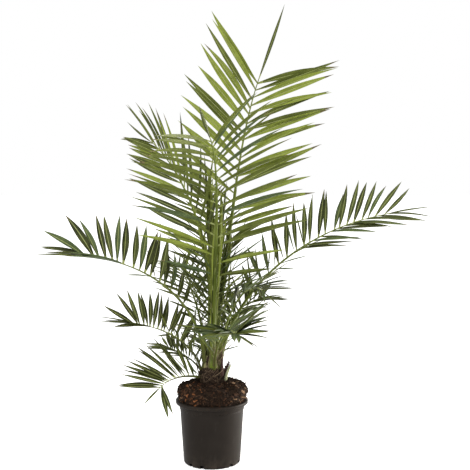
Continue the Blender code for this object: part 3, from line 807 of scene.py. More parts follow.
def leaf_direction(frond, spot, place, rank, lift, spread):
    """Direction of a leaflet, opened from the rachis and lifted out of the blade's plane."""
    _, tangent, side, face = spot
    opening = frond.open + (frond.close - frond.open) * place**frond.shut + rank * frond.skew
    angle = math.radians(opening + spread)
    vee = math.radians(frond.vee + lift)
    out = rank * math.cos(vee) * side + math.sin(vee) * face
    return (math.cos(angle) * tangent + math.sin(angle) * out).normalized()


def leaf_axes(tangent, direction):
    """Across and upward vectors of a leaflet."""
    across = (tangent - direction * tangent.dot(direction)).normalized()
    upward = direction.cross(across)
    return across, -upward if upward.z < 0 else upward


def search_mesh(root, tangent, direction, reach, width, sag):
    """A plain swollen leaflet that is tried against its neighbours."""
    across, upward = leaf_axes(tangent, direction)
    thick = max(reach * LEAF_THICKNESS_SHARE, LEAF_THINNEST) + LEAF_CLEARANCE
    half = width / 2 + LEAF_CLEARANCE
    middle = root + direction * reach * LEAF_WIDEST - UP * sag * LEAF_WIDEST**2
    raised = middle + upward * width * LEAF_FOLD
    root_half = half * LEAF_ROOT_WIDTH_SHARE
    points = [root + across * root_half, root - across * root_half, root - upward * thick]
    points += [raised + across * half, raised - across * half, middle - upward * thick]
    points.append(root + direction * (reach + LEAF_CLEARANCE) - UP * sag)
    faces = [(0, 1, 2)]
    for index in range(3):
        after = (index + 1) % 3
        faces += [(index, after, 3 + after), (index, 3 + after, 3 + index), (3 + index, 3 + after, 6)]
    return points, faces


def tree_of(meshes):
    points = []
    faces = []
    for mesh_points, mesh_faces in meshes:
        start = len(points)
        points += mesh_points
        faces += [tuple(start + index for index in face) for face in mesh_faces]
    return BVHTree.FromPolygons(points, faces)


def rachis_search_mesh(rachis):
    points = []
    steps = 9
    for step in range(steps + 1):
        point, _, side, face = rachis.at(step / steps)
        points += three_sided(point, side, face, rachis_width(rachis.frond, step / steps))
    faces = []
    for step in range(steps):
        for index in range(3):
            low = 3 * step + index
            after = 3 * step + (index + 1) % 3
            faces.append((low, after, after + 3, low + 3))
    return points, faces


@dataclass
class Leaflet:
    """A leaflet that found a clear way."""

    root: Vector
    tangent: Vector
    direction: Vector
    reach: float
    width: float
    sag: float
    green: str


def leaf_places(frond, chance):
    """Each leaflet's place along the blade, 0 to 1, and its rank, -1 or 1."""
    pairs = round(frond.pairs * FINER_PAIRS)
    for index in range(pairs):
        for rank in (-1, 1):
            shift = RANK_STAGGER * (1 + max(rank, 0)) + chance.uniform(-LEAF_SCATTER, LEAF_SCATTER)
            place = min(0.99, max(0.0, (index + shift) / pairs) ** LEAF_CROWDING)
            if place >= (frond.late_right if rank > 0 else frond.late):
                yield place, rank


def grow_frond(rachis, obstacles, chance):
    """Leaflets that find a clear way past the other pieces, and their search meshes."""
    frond = rachis.frond
    greens = FROND_GREENS.get(frond.name, OTHER_GREENS).split()
    kept = []
    meshes = []
    for place, rank in leaf_places(frond, chance):
        spot = rachis.at(frond.bare + (1 - frond.bare) * place)
        reach = leaf_length(frond, place) * chance.uniform(*LEAF_REACHES)
        width = leaf_width(frond, reach) * WIDER.get(frond.name, 1.0) * chance.uniform(*LEAF_WIDTHS)
        lean = chance.gauss(0, LEAF_LEAN_SPREAD)
        opening = chance.gauss(0, LEAF_OPENING_SPREAD)
        green = chance.choice(greens)
        for lift, spread in LEAF_NUDGES:
            direction = leaf_direction(frond, spot, place, rank, lift + lean, spread + opening)
            trial = search_mesh(spot[0], spot[1], direction, reach, width, frond.droop * reach)
            tree = tree_of([trial])
            if not any(tree.overlap(other) for other in obstacles):
                kept.append(Leaflet(spot[0], spot[1], direction, reach, width, frond.droop * reach, green))
                meshes.append(trial)
                break
    point, tangent, side, _ = rachis.at(1.0)
    reach = frond.blade * frond.end
    root = point - tangent * END_LEAF_SINK
    width = frond.leaf_width * END_LEAF_WIDTH_SHARE
    kept.append(Leaflet(root, side, tangent, reach, width, frond.droop * reach, "deep"))
    for heading, climb, length, width, green in FAN_LEAVES.get(frond.name, ()):
        direction = directions(heading, climb)[0]
        kept.append(Leaflet(root, tangent, direction, length, width, FAN_DROOP * length, green))
    return kept, meshes


def leaf_outline(share):
    """Half width at a share of the length: a narrow root, widest at two fifths, and a long fine tip."""
    if share < LEAF_WIDEST:
        grown = math.sin(math.pi / 2 * share / LEAF_WIDEST)
        return LEAF_ROOT_SHARE + LEAF_SWELL * grown**1.2
    return math.sin(math.pi / 2 * (1 - share) / (1 - LEAF_WIDEST))


def add_leaflet(bm, leaf, kinds, chance):
    """A folded blade with a pale midrib and root, a dry tip on some, and its own arch, bow and twist."""
    across, upward = leaf_axes(leaf.tangent, leaf.direction)
    twist = math.radians(chance.gauss(0, LEAF_TWIST_SPREAD))
    arch = chance.uniform(*LEAF_ARCHES) * leaf.reach
    bow = chance.gauss(0, LEAF_BOW_SPREAD) * leaf.reach
    fold = math.radians(chance.uniform(*LEAF_FOLDS)) * (DARK_FOLD if leaf.green in DARK_GREENS else 1)
    dry_from = DRY_TIP_FROM if chance.random() < DRY_TIPS else PLAIN_TIP_FROM
    shares = [(step / LEAF_STEPS) ** LEAF_STEP_POWER for step in range(LEAF_STEPS + 1)]
    count = len(LEAF_SECTION)

    def place(around, along):
        over, depth = LEAF_SECTION[nearest(around, count)]
        share = shares[round(along * LEAF_STEPS)]
        half = leaf.width / 2 * leaf_outline(share)
        turn = twist * share
        sideways = across * math.cos(turn) + upward * math.sin(turn)
        lifted = upward * math.cos(turn) - across * math.sin(turn)
        angle = fold + math.radians(LEAF_ROOT_FOLD) * (1 - share) ** 3
        hump = 4 * share * (1 - share)
        centre = leaf.root + leaf.direction * leaf.reach * share - UP * leaf.sag * share**2
        centre = centre + upward * arch * hump + across * bow * hump
        edge = sideways * over * half * math.cos(angle) + lifted * abs(over) * half * math.sin(angle)
        return centre + edge - lifted * depth * LEAF_SKIN * min(1, half / LEAF_FULL_SKIN_HALF)

    def kind(around, along):
        share = along**LEAF_STEP_POWER
        if share < PALE_ROOT_TO:
            return kinds["leaf_pale"]
        if share > dry_from:
            return kinds["leaf_tip_dry"]
        return kinds["leaf_pale" if int(around * count) == LEAF_MIDRIB else leaf.green]

    skin(bm, count, LEAF_STEPS, place, kind)


# Pieces


def build_fronds():
    """Leaflets as one piece for each frond, then the rachises, the spines and the young blades."""
    chance = random.Random(SEED)
    lines = [Rachis(frond) for frond in FRONDS]
    rachis_trees = [tree_of([rachis_search_mesh(line)]) for line in lines]
    leaf_trees = []
    for index, line in enumerate(lines):
        others = rachis_trees[:index] + rachis_trees[index + 1 :]
        leaflets, meshes = grow_frond(line, others + leaf_trees, chance)
        leaf_trees.append(tree_of(meshes))
        kinds = kinds_of(sorted({leaf.green for leaf in leaflets}))
        bm = bmesh.new()
        for leaf in leaflets:
            add_leaflet(bm, leaf, kinds, chance)
        name = line.frond.name
        finish_piece("leaflets_" + name, bm, kinds, "leaf_green", 24, ["frond_" + name])
    build_rachises(lines)
    build_spines(lines, chance)
    build_young_blades(lines)


def build_rachises(lines):
    """Three-sided stalks with a hollow face between pale brows, all as one piece."""
    bm = bmesh.new()
    count = len(RACHIS_SECTION)
    for line in lines:

        def place(around, along):
            point, _, side, face = line.at(along)
            width = rachis_width(line.frond, along)
            flare = 1 + FOOT_FLARE * max(0, 1 - along / FOOT_FLARE_SHARE) ** 2
            over, deep = RACHIS_SECTION[nearest(around, count)]
            depth = width * RACHIS_DEPTH_SHARE
            return point + side * over * width * flare + face * deep * depth

        def kind(around, along):
            return 1 if int(around * count) in RACHIS_BROWS else 0

        verts = skin(bm, count, RACHIS_STEPS, place, kind)
        bmesh.ops.remove_doubles(bm, verts=verts, dist=SAME_POINT)
    bmesh.ops.holes_fill(bm, edges=bm.edges, sides=0)
    finish_piece("rachises", bm, ("rachis_green", "rachis_brow"), "leaf_green", 50)


def build_spines(lines, chance):
    """Stiff spines on the petiole, and above them narrow leaflets that reach the blade's first ones."""
    bm = bmesh.new()
    kinds = kinds_of(SLIM_GREENS)
    for line in lines:
        frond = line.frond
        tall = frond.perch > 0
        start = OTHER_STARTS.get(frond.name)
        first = (start or SPINES_FROM) * frond.bare
        slim_from = (start or SLIM_FROM[tall]) * frond.bare
        last = frond.bare + SLIM_PAST[tall] * (1 - frond.bare)
        per_metre = OTHER_PER_METRE.get(frond.name, SLIM_PER_METRE[tall])
        count = max(SLIM_FEWEST, round(frond.length * (last - first) * per_metre))
        for index in range(count):
            for rank in (-1, 1):
                share = first + (last - first) * (index + chance.uniform(*SPINE_SCATTER)) / count
                point, tangent, side, face = line.at(share)
                width = rachis_width(frond, share)
                root = point + side * rank * width * SPINE_ASIDE + face * width * SPINE_ABOVE
                lift = math.radians(chance.uniform(*SPINE_LIFTS))
                out = rank * math.cos(lift) * side + math.sin(lift) * face
                angle = math.radians(chance.uniform(*SPINE_OPENINGS))
                heading = math.cos(angle) * tangent + math.sin(angle) * out
                if share <= slim_from:
                    longest = SPINE_LEAST + SPINE_GROWTH * share / frond.bare
                    end = root + heading * chance.uniform(*SPINE_SCALES) * longest
                    strand(bm, bowed(root, end), SPINE_RADIUS, steps=3, kind=kinds["leaf_pale"])
                elif heading.z >= 0:
                    reach = chance.uniform(*SLIM_SCALES) * frond.blade * SLIM_REACH[tall]
                    green = chance.choice(SLIM_GREENS)
                    slim = Leaflet(root, tangent, heading, reach, chance.uniform(*SLIM_WIDTHS), 0.0, green)
                    add_leaflet(bm, slim, kinds, chance)
    finish_piece("petiole_spines", bm, kinds, "leaf_green", 60)


def build_young_blades(lines):
    """Folded young leaflets that stand upright along the tall petioles."""
    chance = random.Random(SEED + 6)
    bm = bmesh.new()
    kinds = kinds_of(YOUNG_GREENS)
    tall = [line for line in lines if line.frond.name in YOUNG_BESIDE]
    for _ in range(YOUNG_BLADES):
        line = chance.choice(tall)
        point, tangent, side, face = line.at(chance.uniform(*YOUNG_PLACES))
        turn = chance.uniform(0, math.tau)
        aside = math.cos(turn) * side + math.sin(turn) * face
        lean = (tangent + aside * chance.uniform(*YOUNG_LEANS)).normalized()
        reach = chance.uniform(*YOUNG_REACHES)
        root = point + aside * chance.uniform(*YOUNG_STANDS)
        green = chance.choice(YOUNG_GREENS)
        young = Leaflet(root, aside, lean, reach, chance.uniform(*YOUNG_WIDTHS), 0.0, green)
        add_leaflet(bm, young, kinds, chance)
    finish_piece("young_blades", bm, kinds, "leaf_green", 24)


def mound_point(turn, run):
    """A point on the compost and the way out of it there; run goes from the middle to the rim."""
    slope_radius = (SOIL_EDGE_RADIUS + SOIL_FLAT_RADIUS) / 2
    slope_height = SOIL_EDGE_HEIGHT + SOIL_SLOPE_RISE * (SOIL_TOP - SOIL_EDGE_HEIGHT)
    radii = (0, SOIL_FLAT_RADIUS, slope_radius, SOIL_EDGE_RADIUS, SOIL_SHOULDER_RADIUS, SOIL_RIM_RADIUS)
    heights = (SOIL_TOP, SOIL_TOP, slope_height, SOIL_EDGE_HEIGHT, SOIL_SHOULDER_HEIGHT, SOIL_RIM_HEIGHT)
    radius = float(np.interp(run, SOIL_RUNS, radii))
    height = float(np.interp(run, SOIL_RUNS, heights))
    tilt = math.radians(float(np.interp(run, SOIL_TILT_RUNS, SOIL_TILTS)))
    around = on_circle(turn, 1, 0)
    normal = around * math.cos(tilt) + UP * math.sin(tilt)
    point = around * radius + UP * height
    lean = SOIL_LEAN * max(0, math.cos(turn - math.radians(SOIL_LEAN_HEADING))) ** 2
    point = point + around * lean * max(0, 1 - abs(run - SOIL_LEAN_RUN) / SOIL_LEAN_OVER)
    swell = min(1.0, max(0.0, (run - SOIL_SWELL_FROM) / SOIL_SWELL_OVER))
    waves = sum(high * math.sin(lobes * turn + twist * radius) for lobes, twist, high in SOIL_WAVES)
    lumps = sum(high * noise.noise(point * scale) for high, scale in SOIL_LUMPS)
    point = point + UP * waves * swell * max(0, math.sin(tilt))
    rough = SOIL_FLAT_LUMPS + (1 - SOIL_FLAT_LUMPS) * swell
    fade = min(1.0, (1 - run) / SOIL_FADE_OVER) if run > SOIL_FADE_FROM else 1.0
    return point + normal * lumps * rough * fade, normal


def build_compost():
    """The mound's own lumpy surface, down to just below the rim."""
    bm = bmesh.new()

    def place(around, along):
        if along > 0.98:
            return UP * (SOIL_RIM_HEIGHT - SOIL_SKIRT)
        return mound_point(math.tau * nearest(around, SOIL_SIDES) / SOIL_SIDES, min(1.0, along / 0.97))[0]

    skin(bm, SOIL_SIDES, SOIL_STEPS, place)
    finish_piece("compost", bm, ["compost_dark"], "compost", 60, ["soil"])


def chip_kind(turn, chance):
    """Orange bark gathers at the front left, tan chips at the right, and dark bits all over."""
    left = max(0, math.cos(turn - math.radians(ORANGE_HEADING))) ** 10
    right = max(0, math.cos(turn - math.radians(TAN_HEADING))) ** 8
    draw = chance.random()
    if draw < 0.004 + 0.20 * left:
        return ORANGE
    if draw < 0.007 + 0.22 * left + 0.085 * right:
        return TAN
    return BROWN if draw > 0.84 else DARK


def build_chips():
    """Rough bark chips lying on the mound, the bright ones longer and slimmer."""
    chance = random.Random(SEED + 1)
    bm = bmesh.new()
    for _ in range(CHIPS):
        turn = chance.uniform(0, math.tau)
        point, normal = mound_point(turn, chance.uniform(*CHIP_RUNS) ** CHIP_CROWDING * CHIP_OUTMOST)
        if math.hypot(point.x, point.y) < CHIP_BARE_RADIUS:
            continue
        kind = chip_kind(turn, chance)
        bright = kind in (ORANGE, TAN)
        long = chance.uniform(*CHIP_LENGTHS) * (CHIP_BRIGHT_STRETCH if bright else 1)
        wide = long * chance.uniform(*CHIP_BREADTHS[bright])
        thick = min(CHIP_THICKEST, wide * chance.uniform(*CHIP_DEPTHS))
        lean = Vector([chance.gauss(0, CHIP_LEAN_SPREAD) for _ in range(3)])
        stand = (normal + lean).normalized().to_track_quat("Z", "X").to_matrix().to_4x4()
        spin = Matrix.Rotation(chance.uniform(0, math.tau), 4, "Z")
        size = Matrix.Diagonal((long, wide, thick, 1))
        where = Matrix.Translation(point + normal * thick * CHIP_LIFT) @ stand @ spin @ size
        for vert in bmesh.ops.create_cube(bm, size=1, matrix=where)["verts"]:
            vert.co += Vector([chance.uniform(-1, 1) for _ in range(3)]) * wide * CHIP_DENTS
            for face in vert.link_faces:
                face.material_index = kind
    finish_piece("bark_chips", bm, CHIP_FINISHES, "compost", 30)


def build_crumbs():
    chance = random.Random(SEED + 2)
    bm = bmesh.new()
    for _ in range(CRUMBS):
        turn = chance.uniform(0, math.tau)
        point, normal = mound_point(turn, chance.uniform(*CRUMB_RUNS) ** CHIP_CROWDING * CRUMB_OUTMOST)
        if math.hypot(point.x, point.y) < CRUMB_BARE_RADIUS:
            continue
        size = chance.uniform(*CRUMB_SIZES)
        kind = BROWN if chance.random() < BROWN_CRUMBS else DARK
        where = Matrix.Translation(point + normal * size * CRUMB_LIFT)
        for vert in bmesh.ops.create_icosphere(bm, subdivisions=1, radius=size, matrix=where)["verts"]:
            vert.co += (vert.co - point) * chance.uniform(*CRUMB_DENTS)
            for face in vert.link_faces:
                face.material_index = kind
    finish_piece("compost_crumbs", bm, CHIP_FINISHES, "compost", 30)


def build_coir():
    """Fine threads lying over the compost, some with a free end in the air, and twigs at its edge."""
    chance = random.Random(SEED + 3)
    bm = bmesh.new()
    for _ in range(COIR_THREADS):
        turn = chance.uniform(0, math.tau)
        run = chance.uniform(*COIR_RUNS)
        sweep = chance.uniform(*COIR_SWEEPS)
        climb = chance.uniform(*COIR_CLIMBS)
        lift = chance.uniform(*COIR_LIFTS)
        free = chance.uniform(*COIR_FREE_ENDS) if chance.random() < COIR_FREE_SHARE else 0

        def thread(along):
            point, normal = mound_point(turn + sweep * along, min(0.98, max(0.12, run + climb * along)))
            return point + normal * (lift * math.sin(math.pi * along) + COIR_FOOT + free * along**2)

        thickness = chance.uniform(*COIR_THICKNESSES)
        strand(bm, thread, thickness, sides=3, steps=7, kind=chance.choice((0, 0, 1)))
    for ends in EDGE_TWIGS:
        start, end = map(Vector, ends)

        def twig(along):
            return start.lerp(end, along) + UP * 0.0015 * math.sin(5 * along)

        strand(bm, twig, TWIG_THICKNESS, sides=5, kind=2)
    finish_piece("coir_threads", bm, ("fibre_brown", "chip_tan", "chip_dark"), "compost", 60)


def build_stem():
    """The swollen stem base with the relief of its woven fibre."""
    bm = bmesh.new()
    low = STEM_HEIGHTS[0] - STEM_SINK

    def place(around, along):
        turn = math.tau * nearest(around, STEM_SIDES) / STEM_SIDES
        if along < 0.01:
            return UP * low
        if along > 0.99:
            return UP * STEM_TOP
        height = low + (STEM_TOP - low) * (along - 0.02) / 0.96
        over = 26 * turn / math.tau
        weave = sum(abs(math.sin(math.pi * (over + climb * height))) for climb in (130, -110))
        lump = noise.noise(on_circle(turn, 3, height * 60))
        fine = noise.noise(on_circle(turn, 14, height * 160))
        radius = stem_radius(height) + 0.0007 * weave + 0.0018 * lump + 0.0008 * fine
        return on_circle(turn, radius, height)

    skin(bm, STEM_SIDES, STEM_STEPS, place)
    finish_piece("stem_fibre_base", bm, ["fibre_dark"], "stem_fibre", 50, ["stem_base"])


def build_fibre_net():
    """Strands that cross over the stem base both ways, with loose ends, and tufts that stand off it."""
    chance = random.Random(SEED + 4)
    bm = bmesh.new()
    for index in range(FIBRE_STRANDS):
        turn = chance.uniform(0, math.tau)
        low = FIBRE_FOOT + 0.068 * chance.random() ** 1.4
        rise = chance.uniform(*FIBRE_RISES)
        sweep = chance.choice((-1, 1)) * chance.uniform(*FIBRE_SWEEPS)
        stand = chance.uniform(*FIBRE_STANDS)
        free = chance.uniform(*FIBRE_FREE_ENDS) if chance.random() < FIBRE_FREE_SHARE else 0

        def woven(along):
            height = low + rise * along
            radius = stem_radius(height) + stand + 0.0012 * math.sin(9 * along + index) + free * along**3
            return on_circle(turn + sweep * along, radius, height)

        strand(bm, woven, chance.uniform(*FIBRE_THICKNESSES), steps=9, kind=chance.choice((0, 0, 1)))
    for _ in range(FIBRE_TUFTS):
        turn = math.radians(chance.choice([chance.gauss(*heading) for heading in FIBRE_TUFT_HEADINGS]))
        low = TUFT_FOOT + 0.040 * chance.random() ** 1.2
        rise = chance.uniform(*TUFT_RISES)
        sweep = chance.uniform(*TUFT_SWEEPS)
        stand = chance.uniform(*TUFT_STANDS)

        def tuft(along):
            height = low + rise * along
            radius = stem_radius(height) - 0.001 + stand * along**0.5
            return on_circle(turn + sweep * along, radius, height)

        strand(bm, tuft, chance.uniform(*TUFT_THICKNESSES), steps=7, kind=chance.choice((0, 2, 2, 2)))
    finish_piece("fibre_net", bm, ("fibre_brown", "fibre_pale", "fibre_dark"), "stem_fibre", 60)


@dataclass
class Sheath:
    """A leaf base that clasps the stem and narrows upwards into its petiole."""

    heading: float
    low: float
    high: float
    low_half: float
    high_half: float
    bulge: float
    kind: int  # 0 green, 1 olive, 2 brown


def sheath_rows():
    """One leaf base for each frond, lower ones browner, after the big green one at the front."""
    rows = [Sheath(278, 0.324, 0.400, 0.0235, 0.0070, 0.0110, 0)]
    for frond in FRONDS[1:]:
        if frond.name == "front_low":
            continue
        foot = frond.foot or STEM_TOP - 0.004
        low = max(SHEATH_LOWEST, foot - (0.030 if frond.perch else 0.022))
        low_half = 0.0155 if frond.perch else 0.0190
        kind = 0 if frond.perch else 1 if foot > OLIVE_FROM else 2
        rows.append(Sheath(frond.heading, low, foot + 0.022, low_half, frond.width * 0.52, 0.0055, kind))
    return rows


def build_sheaths():
    """Crescent shells from edge to edge of each leaf base, closed at the back by a flat strip."""
    bm = bmesh.new()
    half_way = SHEATH_SIDES / 2
    for row in sheath_rows():

        def place(around, along):
            index = nearest(around, SHEATH_SIDES)
            outer = index <= half_way
            over = -1 + 2 * index / half_way if outer else 1 - 2 * (index - half_way) / half_way
            share = min(1, max(0, (along - 0.02) / 0.96))
            height = row.low + (row.high - row.low) * share
            radius = stem_radius(height)
            turn = math.radians(row.heading)
            if along < 0.01 or along > 0.99:
                return on_circle(turn, radius, height)
            half = row.high_half + (row.low_half - row.high_half) * (1 - share) ** 2
            half = half * (0.55 + 0.45 * min(1, share / 0.12))
            out = radius - 0.001
            if outer:
                belly = math.sin(math.pi * min(1, share * 2.1 + 0.12)) if share < 0.42 else 0
                swell = row.bulge * (0.55 + 0.45 * belly) * (0.6 + 0.4 * (1 - share))
                out = radius + 0.0006 + swell * (1 - over * over) ** 0.7
            return on_circle(turn + over * half / radius, out, height)

        def kind(around, along):
            index = int(around * SHEATH_SIDES)
            if row.kind < 2 and index in (0, half_way - 2, half_way - 1):
                return 3
            return 1 if row.kind == 0 and abs(index - SHEATH_SIDES // 4) > 2 else row.kind

        skin(bm, SHEATH_SIDES, SHEATH_STEPS, place, kind)
    finishes = ("sheath_green", "sheath_olive", "sheath_brown", "sheath_edge")
    finish_piece("leaf_bases", bm, finishes, "green_petiole", 50, ["stub_front"])


@dataclass
class Stub:
    """A cut stalk: a hollow-faced strip that leans away from the stem and frays at its end."""

    name: str
    replaced: tuple
    slot: str
    finishes: tuple  # of its back, its hollow face and its hairs
    heading: float
    foot: float
    reach: float
    width: float
    curl: float  # how far its end leans out
    facing: float = 0  # turn of its hollow face from its heading
    stand: float = 0  # how far its foot stands off the stem
    hairs: int = STUB_HAIRS


STUBS = (
    Stub("cut_stalk_right", ("stub_right",), "green_petiole", ("stub_pale", "sheath_brown", "fibre_dark"),
         350, 0.277, 0.057, 0.0170, 0.018, -34, 0.0065),
    Stub("stalk_husk_right", (), "dry_petiole", ("sheath_maroon", "fibre_dark", "fibre_dark"),
         352, 0.274, 0.062, 0.0240, 0.016, -30, -0.0030, 110),
    Stub("cut_stalk_back", ("stub_back",), "dry_petiole", ("sheath_brown", "fibre_dark", "fibre_brown"),
         184, 0.284, 0.040, 0.013, 0.010),
    Stub("dry_sheath_strip", ("dry_sheath",), "dry_petiole", ("sheath_maroon", "fibre_dark", "fibre_brown"),
         324, 0.296, 0.080, 0.015, -0.002, 0, 0.004),
)


def build_stub(stub):
    chance = random.Random(SEED + stub.foot * 1000)
    bm = bmesh.new()
    start = foot_centre(stub.heading, STUB_RISE, stub.width, stub.foot, 0)
    outward = directions(stub.heading, 0)[0]
    deep_way, side, _ = directions(stub.heading + stub.facing, 0)
    count = len(RACHIS_SECTION)

    def line(along):
        return start + UP * stub.reach * along + outward * (stub.stand + stub.curl * along**1.5)

    def place(around, along):
        over, deep = RACHIS_SECTION[nearest(around, count)]
        size = 0 if along < 0.01 or along > 0.99 else stub.width * (1 - STUB_TAPER * along)
        return line(along) + side * over * size - deep_way * deep * size * STUB_DEPTH_SHARE

    skin(bm, count, STUB_STEPS, place, lambda around, along: 1 if int(around * count) in (1, 2, 3) else 0)
    shaggy = stub.hairs > STUB_HAIRS
    lowest, thickness = (0.10, 0.0010) if shaggy else (0.82, 0.0004)
    for _ in range(stub.hairs):
        along = chance.uniform(lowest, 0.99)
        aside = side * chance.uniform(-0.3, 0.3) * stub.width
        root = line(along) + aside - outward * chance.uniform(0, 0.5) * stub.stand
        lean = Vector((chance.gauss(0, 0.25), chance.gauss(0, 0.25), 1)).normalized()
        end = root + lean * chance.uniform(0.006, 0.018) + outward * chance.uniform(-0.002, 0.004)
        strand(bm, bowed(root, end, outward * 0.0012), thickness, sides=3, steps=4, kind=2)
    finish_piece(stub.name, bm, stub.finishes, stub.slot, 50, stub.replaced)


def build_stubs():
    for stub in STUBS:
        build_stub(stub)


def build_threads():
    """A long loop from the low left petiole to the neck, strands and hairs there, and loose hairs."""
    chance = random.Random(SEED + 5)
    bm = bmesh.new()
    strand(bm, bent(*map(Vector, LONG_LOOP)), 0.0011, sides=5, steps=16)
    for points in NECK_STRANDS:
        strand(bm, bent(*map(Vector, points)), 0.0012, sides=5, steps=12, kind=1)
    for _ in range(NECK_HAIRS):
        heading = chance.uniform(268, 312)
        height = chance.uniform(0.332, 0.385)
        way = directions(heading, 0)[0]
        root = way * (stem_radius(height) + 0.012) + UP * height
        right = Vector((chance.uniform(0.002, 0.026), 0, 0))
        tip = root + right + way * chance.uniform(0.002, 0.010) + UP * chance.uniform(0.020, 0.050)
        strand(bm, bowed(root, tip, right * -0.35), 0.0006, steps=9, kind=1)
    for _ in range(LOOSE_HAIRS):
        turn = chance.uniform(0, math.tau)
        height = chance.uniform(0.285, 0.355)
        root = on_circle(turn, 1, 0) * stem_radius(height) + UP * height
        out = on_circle(turn + 0.4, 1, chance.uniform(0.2, 1.2)).normalized()
        reach = chance.uniform(0.012, 0.038)
        sag = chance.uniform(0.1, 0.5)

        def hair(along):
            return root + out * reach * along - UP * reach * sag * along**2

        strand(bm, hair, 0.00035, sides=3, steps=7, kind=chance.choice((0, 1)))
    finish_piece("loose_fibres", bm, ("fibre_brown", "fibre_pale"), "stem_fibre", 60)


def pot_wall_radius(height):
    share = height / POT_SHOULDER_HEIGHT
    return POT_FOOT_RADIUS + (POT_BODY_TOP_RADIUS - POT_FOOT_RADIUS) * share


def arc_points(radius, height, size, start, end, count):
    """Points on an arc of this size round a point of the (radius, height) plane."""
    turns = [math.radians(start + (end - start) * index / count) for index in range(count + 1)]
    return [(radius + size * math.cos(turn), height + size * math.sin(turn)) for turn in turns]


def pot_outline():
    """(radius, height) points of the wall: under the foot, up the outside, round the lip, down inside."""
    shoulder = POT_SHOULDER_HEIGHT - 0.002
    lip_foot = POT_HEIGHT - POT_LIP_HEIGHT
    lip_out = POT_LIP_RADIUS - POT_LIP_ROUND
    body_out = POT_BODY_TOP_RADIUS + POT_SHOULDER_ROUND
    band_out = POT_BAND_RADIUS - POT_SHOULDER_ROUND
    inner = POT_BAND_RADIUS - POT_WALL
    return [
        (0, 0.0),
        (POT_FOOT_RADIUS * 0.5, 0.0),
        *arc_points(POT_FOOT_RADIUS - POT_FOOT_ROUND, POT_FOOT_ROUND, POT_FOOT_ROUND, -90, 0, 6),
        *[(pot_wall_radius(height), height) for height in (0.05, 0.10, 0.15, shoulder)],
        *arc_points(body_out, POT_SHOULDER_HEIGHT, POT_SHOULDER_ROUND, 180, 90, 3),
        *arc_points(band_out, POT_BAND_HEIGHT, POT_SHOULDER_ROUND, -90, 0, 3),
        (POT_BAND_RADIUS + 0.0004, lip_foot - 0.004),
        (POT_BAND_RADIUS + 0.0008, lip_foot),
        (lip_out - 0.001, lip_foot - 0.0004),
        *arc_points(lip_out, lip_foot + POT_LIP_ROUND, POT_LIP_ROUND, -80, 0, 4),
        *arc_points(lip_out, POT_HEIGHT - POT_LIP_ROUND, POT_LIP_ROUND, 0, 90, 5),
        *arc_points(inner + 0.0035, POT_HEIGHT - POT_INNER_ROUND, POT_INNER_ROUND, 90, 180, 3),
        (inner, POT_BAND_HEIGHT),
        (POT_BODY_TOP_RADIUS - POT_WALL, shoulder),
        (pot_wall_radius(POT_FLOOR) - POT_WALL - 0.002, POT_FLOOR),
        (0, POT_FLOOR),
    ]


def drain_cutter(finishes):
    """Rounded blocks, two side by side at each drain, that cut the notches out of the pot's foot. Their
    faces give the notches' insides a near-black finish that paints the shade there.
    """
    bm = bmesh.new()
    for index in range(2 * DRAIN_PAIRS):
        middle = DRAIN_FIRST_HEADING + 360 * (index // 2) / DRAIN_PAIRS
        spread = DRAIN_PAIR_SPREAD if index % 2 else -DRAIN_PAIR_SPREAD
        turn = Matrix.Rotation(math.radians(middle + spread), 4, "Z")
        where = Matrix.Translation((POT_FOOT_RADIUS - DRAIN_NOTCH_DEPTH + DRAIN_CUTTER / 2, 0, 0))
        size = Matrix.Diagonal((DRAIN_CUTTER, DRAIN_NOTCH_WIDTH, 2 * DRAIN_NOTCH_HEIGHT, 1))
        bmesh.ops.create_cube(bm, size=1, matrix=turn @ where @ size)
    bmesh.ops.bevel(
        bm, geom=bm.edges[:], offset=DRAIN_NOTCH_ROUND, segments=3, profile=0.5, affect="EDGES", material=-1
    )
    # Cut faces take the near-black finish: painted shade inside the notches
    for face in bm.faces:
        face.material_index = 1
    return put_mesh("drain_notch_cutter", bm, finishes)


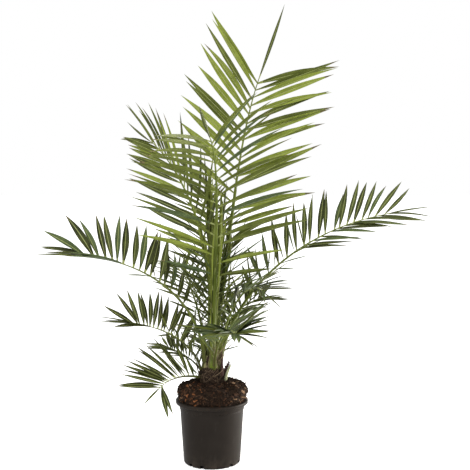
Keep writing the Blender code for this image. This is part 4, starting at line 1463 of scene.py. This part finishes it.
def build_pot():
    """The turned shell with its drain notches cut."""
    bm = bmesh.new()
    verts = [bm.verts.new((radius, 0, height)) for radius, height in pot_outline()]
    edges = [bm.edges.new(pair) for pair in zip(verts, verts[1:])]
    bmesh.ops.spin(
        bm, geom=verts + edges, cent=(0, 0, 0), axis=UP, angle=math.tau, steps=POT_SIDES, use_merge=True
    )
    for face in bm.faces:
        face.smooth = True
    # The second finish paints shade on the notches' cut faces
    finishes = ("pot_plastic", "pot_hole")
    pot = finish_piece("nursery_pot", bm, finishes, "pot_plastic", 35, ["pot"])
    cut = pot.modifiers.new("drain_notches", "BOOLEAN")
    cut.operation = "DIFFERENCE"
    cut.solver = "EXACT"
    cut.object = drain_cutter(finishes)
    carved = bpy.data.meshes.new_from_object(pot.evaluated_get(bpy.context.evaluated_depsgraph_get()))
    bpy.data.objects.remove(cut.object)
    pot.modifiers.remove(cut)
    pot.data = carved


# Stage


def build_stage():
    scene = bpy.context.scene
    bm = bmesh.new()
    bmesh.ops.create_grid(bm, x_segments=1, y_segments=1, size=FLOOR_SIZE)
    put_mesh("floor", bm, ["floor_paper"])
    scene.world = bpy.data.worlds.new("studio_white")
    scene.world.use_nodes = True
    background = scene.world.node_tree.nodes["Background"].inputs
    background["Color"].default_value = (1, 1, 1, 1)
    background["Strength"].default_value = 1.0
    scene.view_settings.view_transform = "Standard"
    for name, place, target, size, power, colour in LIGHTS:
        light = bpy.data.lights.new(name, "AREA")
        light.shape = "DISK"
        light.size = size
        light.energy = power
        light.color = colour
        lamp = put(name, light)
        lamp.location = place
        lamp.rotation_euler = (Vector(target) - Vector(place)).to_track_quat("-Z", "Y").to_euler()
    sun = bpy.data.lights.new("overhead", "SUN")
    sun.energy = SUN_POWER
    sun.angle = math.radians(SUN_SOFTNESS)
    put("overhead", sun).rotation_euler = (math.radians(SUN_TILT[0]), math.radians(SUN_TILT[1]), 0)
    camera = bpy.data.cameras.new("camera")
    camera.lens = CAMERA_LENS
    camera.sensor_width = CAMERA_SENSOR
    scene.camera = put("camera", camera)
    scene.camera.location = CAMERA_PLACE
    scene.camera.rotation_euler = (math.radians(90 - CAMERA_DIP), 0, 0)


def main():
    build_pot()
    build_compost()
    build_chips()
    build_crumbs()
    build_coir()
    build_stem()
    build_fibre_net()
    build_sheaths()
    build_stubs()
    build_threads()
    build_fronds()
    build_stage()


main()
